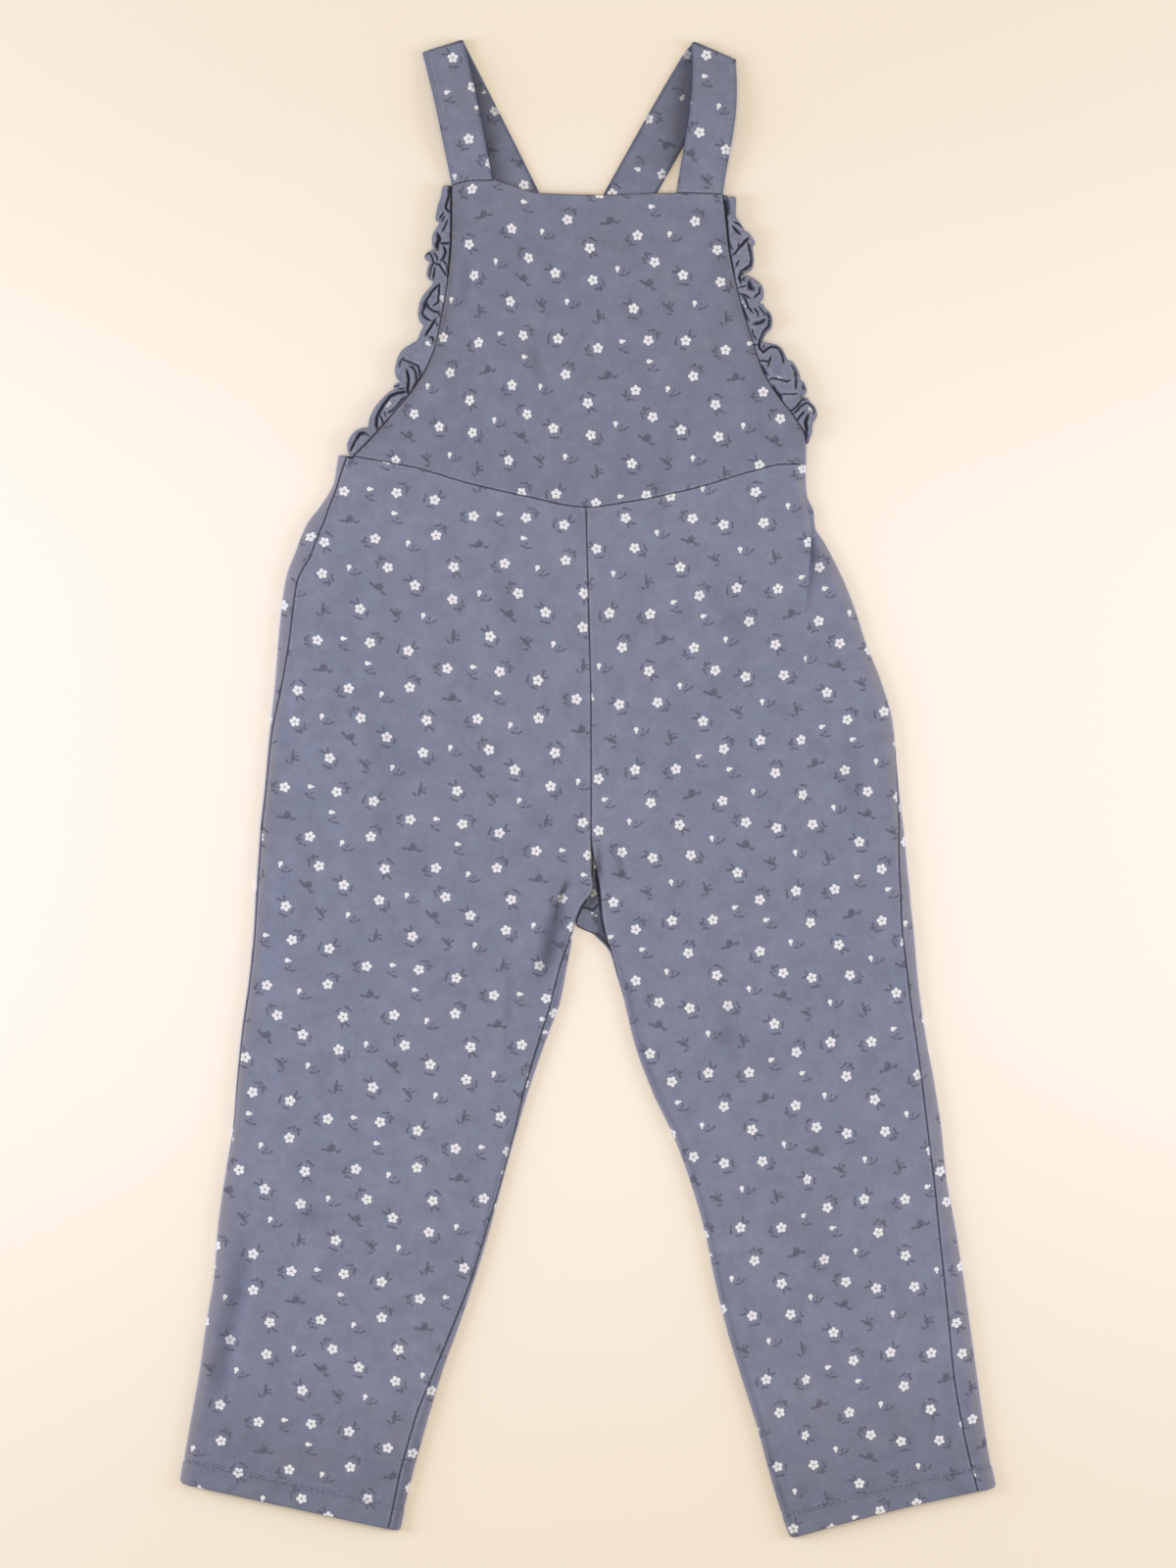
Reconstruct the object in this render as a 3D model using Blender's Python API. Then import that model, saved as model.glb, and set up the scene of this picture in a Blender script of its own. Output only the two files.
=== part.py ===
"""A toddler's dungaree jumpsuit in printed jersey, laid flat with its front up.

X runs across the garment with the wearer's left at +X, Y runs up towards the straps, and Z is up from
the surface that it lies on, z = 0. Sizes are in millimetres until they reach a mesh. Every piece is one
thin wall of cloth: a grid laid on the outer face of the cloth, and a second skin set in by its thickness.
A leg is a flattened tube, so its sections are closed loops: over the front, round the inner fold, along
the surface below and round the outer fold. The front and back panels share these loops.
"""

import math

import bmesh
import bpy
from mathutils import Vector

MM = 0.001

# Cloth
CLOTH = 1.2  # one layer of jersey
DOUBLED = 2.0  # straps and back waist piece: two layers
RUFFLE_CLOTH = 1.4  # folded strip
SEAM = 0.3  # between the edges of two pieces at a seam
SEAM_EASE = 1.5  # distance over which a seam's gap widens as it comes onto a bend
SEAM_LEAD = 1.0  # and how far before the bend that starts

# Lie of the laid garment
FOLD = 2.2  # half the height of a leg at its folded edges
BODY = 5.6  # top of the front cloth, well inside the edges
PUFF_RUN = 26.0  # distance from a folded edge over which the front rises to BODY
CENTRE_DIP = 0.5  # the centre front seam lies a little lower
CENTRE_DIP_RUN = 5.0
CREASE_EASE = 6.0  # distance from a piece's edge over which a crease comes to its depth

# Spacing of the grid round a section
BEND_STEP = 1.25
FLAT_STEP = 14.0
CROTCH_STRIP = 5.0  # above the crotch, a strip along the centre seams is as finely divided as a bend
LEG_GRID = {"front": 16, "back": 20}  # grid columns across a panel
SHARP_ANGLE = math.radians(50)  # rims of the cloth stay sharp, its folds are smooth

# Small steps each way along a surface, between which its slope is taken
SLOPE_STEPS = {
    "leg": (0.05, 0.02),
    "bib": (0.002, 0.002),
    "ruffle": (0.01, 0.01),
    "strap": (0.01, 0.05),
    "band": (0.01, 0.01),
}

HEIGHT_AT_FOLD = 2 * FOLD
QUARTER = math.pi / 2

# One row for each section of a leg, from the waist seam down to the hem. "out" and "in" are the ends of
# the section seen from above. "side" and "inseam" say how far from those ends the seams lie on the front;
# a negative value lies under the fold. "fold" is the radius of the inner fold: none above the crotch.
LEG_COLUMNS = ("out_x", "out_y", "in_x", "in_y", "side", "inseam", "fold")
RIGHT_LEG = (
    (-140.0, 187.0, -1.2, 158.0, 4.8, 0.0, 0.0),
    (-142.4, 172.0, -0.7, 141.0, 2.4, 0.0, 0.0),
    (-150.0, 158.5, -0.3, 126.0, 4.8, 0.0, 0.0),
    (-157.3, 149.0, 0.0, 114.7, 8.4, 0.0, 0.0),
    (-163.9, 133.0, 0.4, 97.1, 8.8, 0.0, 0.0),
    (-169.4, 117.7, 0.9, 80.6, 6.6, 0.0, 0.0),
    (-172.9, 91.0, 1.6, 53.0, 6.4, 0.0, 0.0),
    (-175.2, 62.0, 1.7, 23.4, 4.2, 0.0, 0.0),
    (-178.9, 28.0, 1.7, -11.4, 1.2, 0.0, 0.0),
    (-181.8, -3.0, 1.8, -43.0, 1.0, 0.0, 0.0),
    (-183.4, -17.0, 3.0, -55.5, 1.0, 0.0, 0.0),
    (-184.3, -28.0, -3.9, -66.0, 1.0, 0.0, 0.0),
    (-184.9, -37.0, -7.7, -76.0, 1.0, 0.0, 0.0),
    (-185.6, -47.0, -9.3, -86.0, 1.0, 1.4, FOLD),
    (-186.6, -62.0, -11.9, -99.5, 1.0, 3.6, FOLD),
    (-187.6, -80.0, -15.3, -117.6, 0.9, 4.8, FOLD),
    (-190.3, -107.0, -24.5, -143.1, 0.9, 3.4, FOLD),
    (-194.2, -135.0, -33.7, -170.0, 0.8, 2.2, FOLD),
    (-196.9, -162.0, -41.3, -195.9, 0.6, 0.9, FOLD),
    (-199.1, -190.0, -48.7, -222.8, 0.3, 0.8, FOLD),
    (-203.5, -217.0, -55.8, -249.2, 0.0, 1.6, FOLD),
    (-207.4, -245.0, -64.1, -276.2, -0.2, 1.7, FOLD),
    (-209.5, -272.0, -72.8, -301.8, -0.4, 3.0, FOLD),
    (-214.0, -300.0, -82.4, -328.7, -0.4, 4.4, FOLD),
    (-217.8, -327.0, -90.2, -354.8, -0.4, 6.9, FOLD),
    (-222.8, -355.0, -97.9, -382.2, -0.4, 7.0, FOLD),
    (-226.3, -375.0, -102.8, -401.9, -0.4, 6.2, FOLD),
    (-228.8, -389.4, -105.6, -416.3, -0.4, 6.6, FOLD),
)
LEFT_LEG = (
    (122.1, 182.0, -1.2, 158.0, -0.6, 0.0, 0.0),
    (122.1, 172.0, -0.9, 147.9, -0.6, 0.0, 0.0),
    (123.0, 163.5, -0.7, 139.2, -0.6, 0.0, 0.0),
    (126.4, 156.0, -0.5, 131.0, -0.6, 0.0, 0.0),
    (127.2, 147.0, -0.2, 121.8, -0.6, 0.0, 0.0),
    (132.5, 138.0, 0.0, 111.6, -0.6, 0.0, 0.0),
    (138.4, 127.0, 0.4, 99.3, -0.6, 0.0, 0.0),
    (144.5, 114.0, 0.8, 85.0, -0.6, 0.0, 0.0),
    (150.5, 98.0, 1.2, 67.6, -0.6, 0.0, 0.0),
    (156.2, 80.3, 1.7, 48.6, -0.5, 0.0, 0.0),
    (164.2, 60.5, 1.7, 26.9, -0.3, 0.0, 0.0),
    (171.0, 36.0, 1.7, 0.6, -0.02, 0.0, 0.0),
    (173.4, 10.0, 1.8, -26.5, 0.35, 0.0, 0.0),
    (175.1, -9.0, 4.9, -45.0, 1.2, 0.0, 0.0),
    (176.7, -21.0, 6.8, -57.5, 2.4, 0.0, 0.0),
    (178.1, -35.0, 8.0, -71.8, 3.9, 0.0, 0.0),
    (179.2, -47.0, 10.4, -83.6, 4.6, 0.0, 0.0),
    (180.1, -55.0, 12.2, -91.6, 5.0, 1.0, FOLD),
    (181.0, -66.0, 15.5, -102.2, 5.6, 0.5, FOLD),
    (182.6, -80.0, 19.6, -115.9, 6.4, 0.05, FOLD),
    (184.9, -107.0, 26.1, -142.4, 5.5, -0.3, FOLD),
    (188.7, -135.0, 36.0, -169.4, 5.5, -0.8, FOLD),
    (193.6, -162.0, 48.3, -195.2, 6.7, -1.0, FOLD),
    (198.0, -190.0, 58.2, -222.3, 7.7, -1.0, FOLD),
    (200.7, -217.0, 65.7, -248.5, 7.0, -1.0, FOLD),
    (205.7, -245.0, 71.5, -276.7, 9.2, -1.0, FOLD),
    (210.1, -272.0, 78.1, -303.5, 10.7, -1.0, FOLD),
    (214.0, -300.0, 86.4, -330.8, 11.8, -1.0, FOLD),
    (217.8, -327.0, 94.7, -357.0, 12.9, -1.0, FOLD),
    (221.7, -355.0, 102.1, -384.5, 12.1, -1.0, FOLD),
    (225.0, -375.0, 107.9, -404.0, 11.0, -1.0, FOLD),
    (228.8, -392.0, 113.9, -420.4, 10.5, -1.0, FOLD),
)

# Where a back panel's inner end differs from the front's: at the back waist and at the crotch, where
# the front edges part and the back panels run on to the crotch edge. Columns: row, in_x, in_y.
BACK_WAIST = (RIGHT_LEG[0][:2], (-1.2, 180.0), LEFT_LEG[0][:2])
RIGHT_BACK_INNER = (
    (0, *BACK_WAIST[1]),
    (9, 1.8, -43.0),
    (10, 2.3, -56.0),
    (11, 2.8, -68.0),
    (12, 3.3, -82.0),
)
LEFT_BACK_INNER = (
    (0, *BACK_WAIST[1]),
    (13, 1.9, -45.0),
    (14, 2.3, -57.5),
    (15, 2.9, -71.8),
    (16, 3.3, -83.6),
)

# Seam between the bib and the legs. Columns: x, y.
WAIST_SEAM = (
    (-131.5, 186.5),
    (-96.5, 180.0),
    (-67.9, 171.6),
    (-36.9, 164.5),
    (-1.2, 158.0),
    (27.9, 161.8),
    (58.9, 168.3),
    (96.7, 179.3),
    (109.7, 182.0),
    (122.1, 182.0),
)
WAIST_BOW_ROWS = 3  # rows of a leg over which its sections straighten below the waist seam
CENTRE_SEAM_X = WAIST_SEAM[4][0]

# Bib. Top edge: x, y. Side edges: y, x.
BIB_TOP = (
    (-76.2, 338.4),
    (-63.8, 341.1),
    (-53.4, 341.1),
    (-44.0, 338.6),
    (-28.6, 334.2),
    (-11.8, 333.4),
    (10.5, 333.0),
    (48.4, 334.1),
    (75.4, 333.4),
)
BIB_RIGHT_SIDE = (
    (338.4, -76.2),
    (308.0, -76.5),
    (284.9, -78.7),
    (264.8, -82.2),
    (249.2, -85.4),
    (237.6, -89.7),
    (227.2, -95.9),
    (218.5, -102.3),
    (210.1, -109.6),
    (198.0, -120.1),
    (186.8, -131.1),
)
BIB_LEFT_SIDE = (
    (333.4, 75.4),
    (317.1, 77.3),
    (303.8, 78.7),
    (285.1, 82.5),
    (269.1, 86.6),
    (251.9, 91.9),
    (233.2, 98.5),
    (220.0, 106.7),
    (207.9, 116.1),
    (195.8, 122.0),
    (182.3, 122.1),
)
# Height of the bib's upper face down its side edges and down its middle. Columns: share, side, middle.
BIB_HEIGHTS = ((0.0, 4.3, 4.4), (0.2, 3.5, 4.8), (0.7, 3.5, 4.8), (0.85, 3.8, 5.0), (1.0, 4.6, BODY))
BIB_EDGE_RUN = 22.0
BIB_DIP_FROM = 0.9  # share of the way down at which the centre dip starts
BIB_COLUMNS, BIB_ROWS = 18, 15
BIB_OVER_CROSSING = 1.7  # the bib is lifted where the straps cross below it
BIB_CLEAR_OF_CROSSING = 8.0

# Ruffles: one row for each fold of the gathered strip, up and down in turn. Columns: y, reach.
RIGHT_RUFFLE = (
    (335.0, 5.5),
    (331.0, 6.6),
    (319.0, 7.6),
    (308.0, 10.4),
    (298.6, 11.0),
    (288.8, 9.4),
    (279.4, 8.6),
    (270.6, 13.0),
    (261.0, 10.4),
    (251.0, 12.4),
    (244.7, 14.0),
    (237.6, 15.6),
    (230.0, 12.0),
    (223.9, 12.8),
    (218.0, 14.8),
    (212.0, 15.2),
    (206.0, 11.4),
    (200.0, 11.0),
    (194.0, 8.6),
    (188.6, 5.6),
)
LEFT_RUFFLE = (
    (331.0, 4.6),
    (326.0, 6.4),
    (318.6, 7.6),
    (309.7, 12.8),
    (301.0, 14.2),
    (292.0, 11.4),
    (284.0, 13.0),
    (276.0, 12.4),
    (266.7, 13.6),
    (258.0, 12.8),
    (250.0, 10.6),
    (243.6, 14.8),
    (237.0, 16.4),
    (230.0, 16.2),
    (223.9, 14.8),
    (217.0, 13.2),
    (211.0, 11.6),
    (205.0, 8.2),
    (198.6, 4.0),
)
RUFFLE_MIDDLE = 3.7
RUFFLE_SWING = 2.1
RUFFLE_FLARE = 1.4  # power of the share by which the folds open towards the free edge
RUFFLE_SETTLE = 0.625  # share by which the strip comes from the bib's height to RUFFLE_MIDDLE
EDGE_SAMPLE = 4.0  # distance each way along the bib's edge, for its direction
RUFFLE_STEPS = 4  # grid rows for each fold
RUFFLE_SHARES = (0.0, 0.3, 0.62, 1.0)  # grid columns from the seam to the free edge

# Straps. "left" and "right" are the corners as seen from above: of the end at the bib, of the shoulder
# fold and of the end at the back waist piece.
BAND_TOP_Y = 203.0
STRAP_RIGHT = {
    "bib": ((-76.4, 339.0), (-53.4, 341.6)),
    "shoulder": ((-92.4, 411.3), (-69.6, 418.5)),
    "back": ((5.4, BAND_TOP_Y + SEAM), (32.4, BAND_TOP_Y + SEAM)),
    "over": 0.0,
}
STRAP_LEFT = {
    "bib": ((49.6, 334.6), (75.6, 334.0)),
    "shoulder": ((58.2, 417.6), (82.8, 407.2)),
    "back": ((-58.4, BAND_TOP_Y + SEAM), (-29.6, BAND_TOP_Y + SEAM)),
    "over": DOUBLED + SEAM,
}
STRAP_CROSSING = (-11.0, 264.0)
CROSSING_FLAT = 27.0  # half length over which one strap lies on the other
CROSSING_RAMP = 28.0
STRAP_FOLD = DOUBLED + SEAM / 2  # radius of the shoulder fold's outer face
STRAP_STEPS = {"front": 9, "fold": 5, "back": 22}
STRAP_COLUMNS = 3
STRAP_END_RUN = 20.0  # distance over which the strap's end follows the edge that it is sewn to

# Back waist piece: its lower and its upper edge. Columns: x of the right end, x of the left end.
BAND_LOWER = (-127.0, 119.0)
BAND_UPPER = (-113.0, 116.0)
BAND_COLUMNS = 12

# Soft creases in the front, each along a line. Columns: x0, y0, x1, y1, half width, depth.
CREASES = (
    (-7.0, -48.0, -20.0, -68.0, 4.0, 0.9),
    (-20.0, -68.0, -31.0, -113.0, 5.0, 1.1),
    (-190.0, -240.0, -212.0, -357.0, 7.0, 0.7),
    (-165.0, -236.0, -137.0, -245.0, 7.0, 0.5),
    (75.0, -108.0, 81.0, -162.0, 9.0, 0.6),
    (17.0, -31.0, 20.0, -58.0, 4.0, 0.5),
    (-34.7, 256.0, -23.1, 219.5, 4.5, 0.7),
    (-79.0, 242.0, -74.8, 206.8, 5.0, 0.6),
    (60.0, 120.0, 98.0, 70.0, 10.0, 0.5),
)
# The tuck at the left hip: the cloth outside this line lies lower. Columns: y, x, height of the step.
HIP_TUCK = (
    (160.0, 127.6, 0.7),
    (147.0, 126.6, 1.2),
    (138.0, 125.8, 1.2),
    (125.0, 124.7, 0.9),
    (112.0, 123.2, 0.5),
    (98.0, 122.4, 0.0),
)
TUCK_RISE = 1.6  # width of the step
TUCK_RUN = 16.0  # distance over which the raised cloth settles again

COLOURS = {
    "front": (0.196, 0.213, 0.300),
    "back": (0.176, 0.192, 0.275),
    "bib": (0.205, 0.222, 0.312),
    "trim": (0.168, 0.184, 0.262),
}


def smooth(share):
    share = min(max(share, 0.0), 1.0)
    return share * share * (3 - 2 * share)


def read_line(places, values, place):
    """A value at one place along a table, on a smooth line that never swings past the table's rows."""
    if place <= places[0]:
        return values[0]
    if place >= places[-1]:
        return values[-1]
    k = next(i for i in range(len(places) - 1) if place <= places[i + 1])
    slopes = [(values[i + 1] - values[i]) / (places[i + 1] - places[i]) for i in range(len(places) - 1)]

    def lean(i):
        if i == 0 or i == len(slopes):
            return slopes[min(i, len(slopes) - 1)]
        before, after = slopes[i - 1], slopes[i]
        return 0.0 if before * after <= 0 else 2 * before * after / (before + after)

    run = places[k + 1] - places[k]
    s = (place - places[k]) / run
    start = values[k] * (1 + 2 * s) * (1 - s) ** 2 + lean(k) * run * s * (1 - s) ** 2
    end = values[k + 1] * s * s * (3 - 2 * s) + lean(k + 1) * run * s * s * (s - 1)
    return start + end


def column(table, key, value, place):
    """Reads column number value of a table at a place in column number key, which may run down or up."""
    rows = sorted(table, key=lambda row: row[key])
    return read_line([row[key] for row in rows], [row[value] for row in rows], place)


def waist_y(x):
    return column(WAIST_SEAM, 0, 1, x)


def crease_depth(x, y):
    """How far the soft creases press the front down at one point."""
    depth = 0.0
    for x0, y0, x1, y1, half_width, deep in CREASES:
        along = Vector((x1 - x0, y1 - y0))
        share = (Vector((x - x0, y - y0)).dot(along)) / along.length_squared
        beside = Vector((x - x0, y - y0)) - along * min(max(share, 0.0), 1.0)
        depth += deep * math.exp(-((beside.length / half_width) ** 2))
    return depth


def tuck_height(x, y):
    """The raised cloth inside the fold line of the hip tuck."""
    inside = column(HIP_TUCK, 0, 1, y) - x
    settled = math.exp(-((max(inside, 0) / TUCK_RUN) ** 2))
    return column(HIP_TUCK, 0, 2, y) * smooth(inside / TUCK_RISE) * settled


class LegLoop:
    """The closed sections of one leg. A place on a section is a distance round it from the outer fold."""

    def __init__(self, table, back_inner=()):
        rows = [list(row) for row in table]
        self.open_rows = sum(1 for row in rows if row[6] == 0.0)
        for row, x, y in back_inner:
            rows[row][2:4] = (x, y)
        self.columns = {name: [row[k] for row in rows] for k, name in enumerate(LEG_COLUMNS)}
        self.places = list(range(len(rows)))
        self.is_back = bool(back_inner)
        if self.is_back:
            # above the crotch a back panel ends on the surface below, not on the front
            self.columns["inseam"][: self.open_rows] = [-0.01] * self.open_rows

    def read(self, name, row):
        return read_line(self.places, self.columns[name], row)

    def frame(self, row):
        """Ends, width and inner fold of the section, and the lengths round its quarter bends."""
        start = Vector((self.read("out_x", row), self.read("out_y", row)))
        end = Vector((self.read("in_x", row), self.read("in_y", row)))
        fold = self.read("fold", row)
        width = (end - start).length
        outer_bend = QUARTER * FOLD
        inner_bend = QUARTER * math.sqrt((fold**2 + FOLD**2) / 2)
        return start, (end - start) / width, width, fold, outer_bend, inner_bend

    def over_top(self, row):
        """Distance round the section from the outer fold, over the front, to the inner fold."""
        _, _, width, fold, outer_bend, inner_bend = self.frame(row)
        return outer_bend + (width - FOLD - fold) + inner_bend

    @staticmethod
    def round_the_bend(seen, fold, bend):
        """Turns a distance from the folded edge, as seen from above, into a distance round the section."""
        size = abs(seen)
        if size >= fold:
            length = bend + size - fold
        else:
            length = bend * math.acos(1 - size / fold) / QUARTER
        return math.copysign(length, seen)

    def side_seam(self, row, edge):
        """Place of the side seam's edge: +1 on the front's side of it, -1 on the back's."""
        _, _, _, _, outer_bend, _ = self.frame(row)
        seam = self.round_the_bend(self.read("side", row), FOLD, outer_bend)
        return seam + edge * self.half_gap(seam, outer_bend)

    def inseam(self, row, edge):
        _, _, _, fold, _, inner_bend = self.frame(row)
        seam = self.round_the_bend(self.read("inseam", row), fold, inner_bend)
        gap = self.half_gap(seam, inner_bend) if fold else SEAM / 2
        return self.over_top(row) - seam - edge * gap

    @staticmethod
    def half_gap(seam, bend):
        """Half the gap at a seam, wider on a bend so that the inner skins stay as far apart."""
        bent = smooth((bend + SEAM_LEAD - abs(seam)) / SEAM_EASE)
        return SEAM / 2 * (1 + bent * (FOLD / (FOLD - CLOTH) - 1))

    def top(self, start, along, width, fold, d):
        """Height of the front's outer face at the distance d from the outer end."""
        rise = smooth((d - FOLD) / PUFF_RUN)
        closed = fold / FOLD
        rise *= 1 - closed * (1 - smooth((width - fold - d) / PUFF_RUN))
        dip = CENTRE_DIP * (1 - closed) * math.exp(-(((width - d) / CENTRE_DIP_RUN) ** 2))
        here = start + along * d
        shaped = tuck_height(here.x, here.y) - crease_depth(here.x, here.y)
        ends = smooth((d - FOLD) / CREASE_EASE)
        ends *= 1 - closed * (1 - smooth((width - fold - d) / CREASE_EASE))
        return HEIGHT_AT_FOLD + (BODY - HEIGHT_AT_FOLD) * rise - dip + shaped * ends

    def point(self, place, row):
        """The outer face at a distance round the section."""
        row = min(max(row, 0), self.places[-1])
        start, along, width, fold, outer_bend, inner_bend = self.frame(row)
        flat = width - FOLD - fold
        half = outer_bend + flat + inner_bend
        loop = 2 * half
        place = (place + loop / 2) % loop - loop / 2
        under, way = place < 0, abs(place)
        if way < outer_bend:
            turn = way / outer_bend * QUARTER
            d, z = FOLD * (1 - math.cos(turn)), FOLD * math.sin(turn)
        elif way <= outer_bend + flat:
            d = FOLD + way - outer_bend
            z = FOLD if under else self.top(start, along, width, fold, d) - FOLD
        else:
            turn = (half - way) / inner_bend * QUARTER
            at_bend = self.top(start, along, width, fold, width - fold) - FOLD
            d = width - fold * (1 - math.cos(turn))
            z = (FOLD if under else at_bend) * math.sin(turn)
        here = start + along * d
        if not self.is_back:
            out_y, in_y = self.columns["out_y"][0], self.columns["in_y"][0]
            if WAIST_SEAM[0][0] <= here.x <= WAIST_SEAM[-1][0]:
                bow = waist_y(here.x) - (out_y + (in_y - out_y) * d / width)
                here.y += bow * smooth(1 - row / WAIST_BOW_ROWS)
        return Vector((here.x, here.y, FOLD - z if under else FOLD + z))

    def spread(self, first, last, share, row):
        """Places between two seams, closer together round the bends."""
        _, _, _, fold, outer_bend, inner_bend = self.frame(row)
        inner = self.over_top(row)
        loop = 2 * inner
        reach = inner_bend + (1 - fold / FOLD) * CROTCH_STRIP
        bends = (
            (-outer_bend, outer_bend),
            (inner - reach, inner + reach),
            (loop - outer_bend, loop + outer_bend),
        )
        stops = sorted({first, last, *(min(max(stop, first), last) for bend in bends for stop in bend)})
        counts = [0.0]
        for low, high in zip(stops, stops[1:]):
            bent = any(bend[0] - 0.01 <= (low + high) / 2 <= bend[1] + 0.01 for bend in bends)
            counts.append(counts[-1] + (high - low) / (BEND_STEP if bent else FLAT_STEP))
        wanted = share * counts[-1]
        k = next(k for k in range(len(stops) - 1) if wanted <= counts[k + 1] or k == len(stops) - 2)
        share_between = (wanted - counts[k]) / (counts[k + 1] - counts[k])
        return stops[k] + (stops[k + 1] - stops[k]) * share_between


def bib_edges(share):
    """The bib's two side edges at a share of the way down, as points seen from above."""
    right_y = BIB_RIGHT_SIDE[0][0] + (BIB_RIGHT_SIDE[-1][0] - BIB_RIGHT_SIDE[0][0]) * share
    left_y = BIB_LEFT_SIDE[0][0] + (BIB_LEFT_SIDE[-1][0] - BIB_LEFT_SIDE[0][0]) * share
    right = Vector((column(BIB_RIGHT_SIDE, 0, 1, right_y), right_y))
    left = Vector((column(BIB_LEFT_SIDE, 0, 1, left_y), left_y))
    return right, left


def bib_seam_x(edge_table, y):
    """The bib's side edge as its grid has it: straight from row to row."""
    top, low = edge_table[0][0], edge_table[-1][0]
    step = (low - top) / BIB_ROWS
    row = min(max(math.floor((y - top) / step), 0), BIB_ROWS - 1)
    ends = [column(edge_table, 0, 1, top + step * k) for k in (row, row + 1)]
    return ends[0] + (ends[1] - ends[0]) * ((y - top) / step - row)


def bib_side_height(share):
    return column(BIB_HEIGHTS, 0, 1, share)


def bib_point(across, down):
    """The bib's upper face, filled in smoothly between its four edges."""
    right, left = bib_edges(down)
    top_x = BIB_TOP[0][0] + (BIB_TOP[-1][0] - BIB_TOP[0][0]) * across
    low_x = BIB_RIGHT_SIDE[-1][1] + (BIB_LEFT_SIDE[-1][1] - BIB_RIGHT_SIDE[-1][1]) * across
    top = Vector((top_x, column(BIB_TOP, 0, 1, top_x)))
    low = Vector((low_x, waist_y(low_x) + SEAM))
    corners = [Vector(BIB_TOP[0]), Vector(BIB_TOP[-1]), bib_edges(1)[0], bib_edges(1)[1]]
    flat = corners[0] * (1 - across) * (1 - down) + corners[1] * across * (1 - down)
    flat += corners[2] * (1 - across) * down + corners[3] * across * down
    here = top * (1 - down) + low * down + right * (1 - across) + left * across - flat
    inside = min((here - right).length, (here - left).length)
    side, middle = bib_side_height(down), column(BIB_HEIGHTS, 0, 2, down)
    z = side + (middle - side) * smooth(inside / BIB_EDGE_RUN)
    away = (here - Vector(STRAP_CROSSING)).length
    z += BIB_OVER_CROSSING * (1 - smooth((away - CROSSING_FLAT - BIB_CLEAR_OF_CROSSING) / CROSSING_RAMP))
    dip = math.exp(-(((here.x - CENTRE_SEAM_X) / CENTRE_DIP_RUN) ** 2))
    z -= CENTRE_DIP * dip * smooth((down - BIB_DIP_FROM) / (1 - BIB_DIP_FROM))
    z -= crease_depth(here.x, here.y) * smooth(inside / CREASE_EASE)
    return Vector((here.x, here.y, z))


def ruffle_point(folds, edge_table, outward, place, share):
    """A point of a ruffle: place counts its folds, share runs from the seam to the free edge."""
    counts = list(range(len(folds)))
    place = min(max(place, 0), counts[-1])
    y = read_line(counts, [row[0] for row in folds], place)
    reach = read_line(counts, [row[1] for row in folds], place)
    seam = Vector((bib_seam_x(edge_table, y), y))
    low, high = y - EDGE_SAMPLE, y + EDGE_SAMPLE
    down_edge = Vector((column(edge_table, 0, 1, low) - column(edge_table, 0, 1, high), low - high))
    out = Vector((down_edge.y, -down_edge.x)).normalized() * outward
    here = seam + out * (SEAM + share * reach)
    down = (edge_table[0][0] - y) / (edge_table[0][0] - edge_table[-1][0])
    at_seam = bib_side_height(down)
    middle = at_seam + (RUFFLE_MIDDLE - at_seam) * smooth(share / RUFFLE_SETTLE)
    swing = RUFFLE_SWING * max(share, 0.0) ** RUFFLE_FLARE * math.cos(math.pi * place)
    return Vector((here.x, here.y, middle + swing))


class Strap:
    """A flat doubled ribbon: up from the bib, folded at the shoulder, and down behind the bib."""

    def __init__(self, sizes):
        self.bib, self.shoulder, self.back = [
            [Vector(corner) for corner in sizes[end]] for end in ("bib", "shoulder", "back")
        ]
        self.over = sizes["over"]
        line = self.shoulder[1] - self.shoulder[0]
        self.out = Vector((-line.y, line.x)).normalized()
        bib, shoulder, back = [(a + b) / 2 for a, b in (self.bib, self.shoulder, self.back)]
        self.front_length = (shoulder - bib).length
        self.back_length = (back - shoulder).length
        self.fold_length = math.pi * STRAP_FOLD

    def point(self, across, way):
        """The ribbon's outer face: the top of its front run and the underside of its back run."""
        shoulder = self.shoulder[0].lerp(self.shoulder[1], across)
        if way <= self.front_length:
            here = self.bib[0].lerp(self.bib[1], across).lerp(shoulder, way / self.front_length)
            near = smooth(1 - way / STRAP_END_RUN)
            edge = column(BIB_TOP, 0, 1, here.x) + SEAM + way
            here.y += (edge - here.y) * near
            return Vector((here.x, here.y, 2 * STRAP_FOLD))
        if way <= self.front_length + self.fold_length:
            turn = (way - self.front_length) / STRAP_FOLD
            here = shoulder + self.out * STRAP_FOLD * math.sin(turn)
            return Vector((here.x, here.y, STRAP_FOLD * (1 + math.cos(turn))))
        gone = way - self.front_length - self.fold_length
        here = shoulder.lerp(self.back[0].lerp(self.back[1], across), gone / self.back_length)
        away = (here - Vector(STRAP_CROSSING)).length
        return Vector((here.x, here.y, self.over * (1 - smooth((away - CROSSING_FLAT) / CROSSING_RAMP))))

    def ways(self):
        """Distances along the ribbon for the rows of its grid."""
        stretches = (("front", self.front_length), ("fold", self.fold_length), ("back", self.back_length))
        way, ways = 0.0, [0.0]
        for name, length in stretches:
            ways += [way + length * (k + 1) / STRAP_STEPS[name] for k in range(STRAP_STEPS[name])]
            way += length
        return ways


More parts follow.
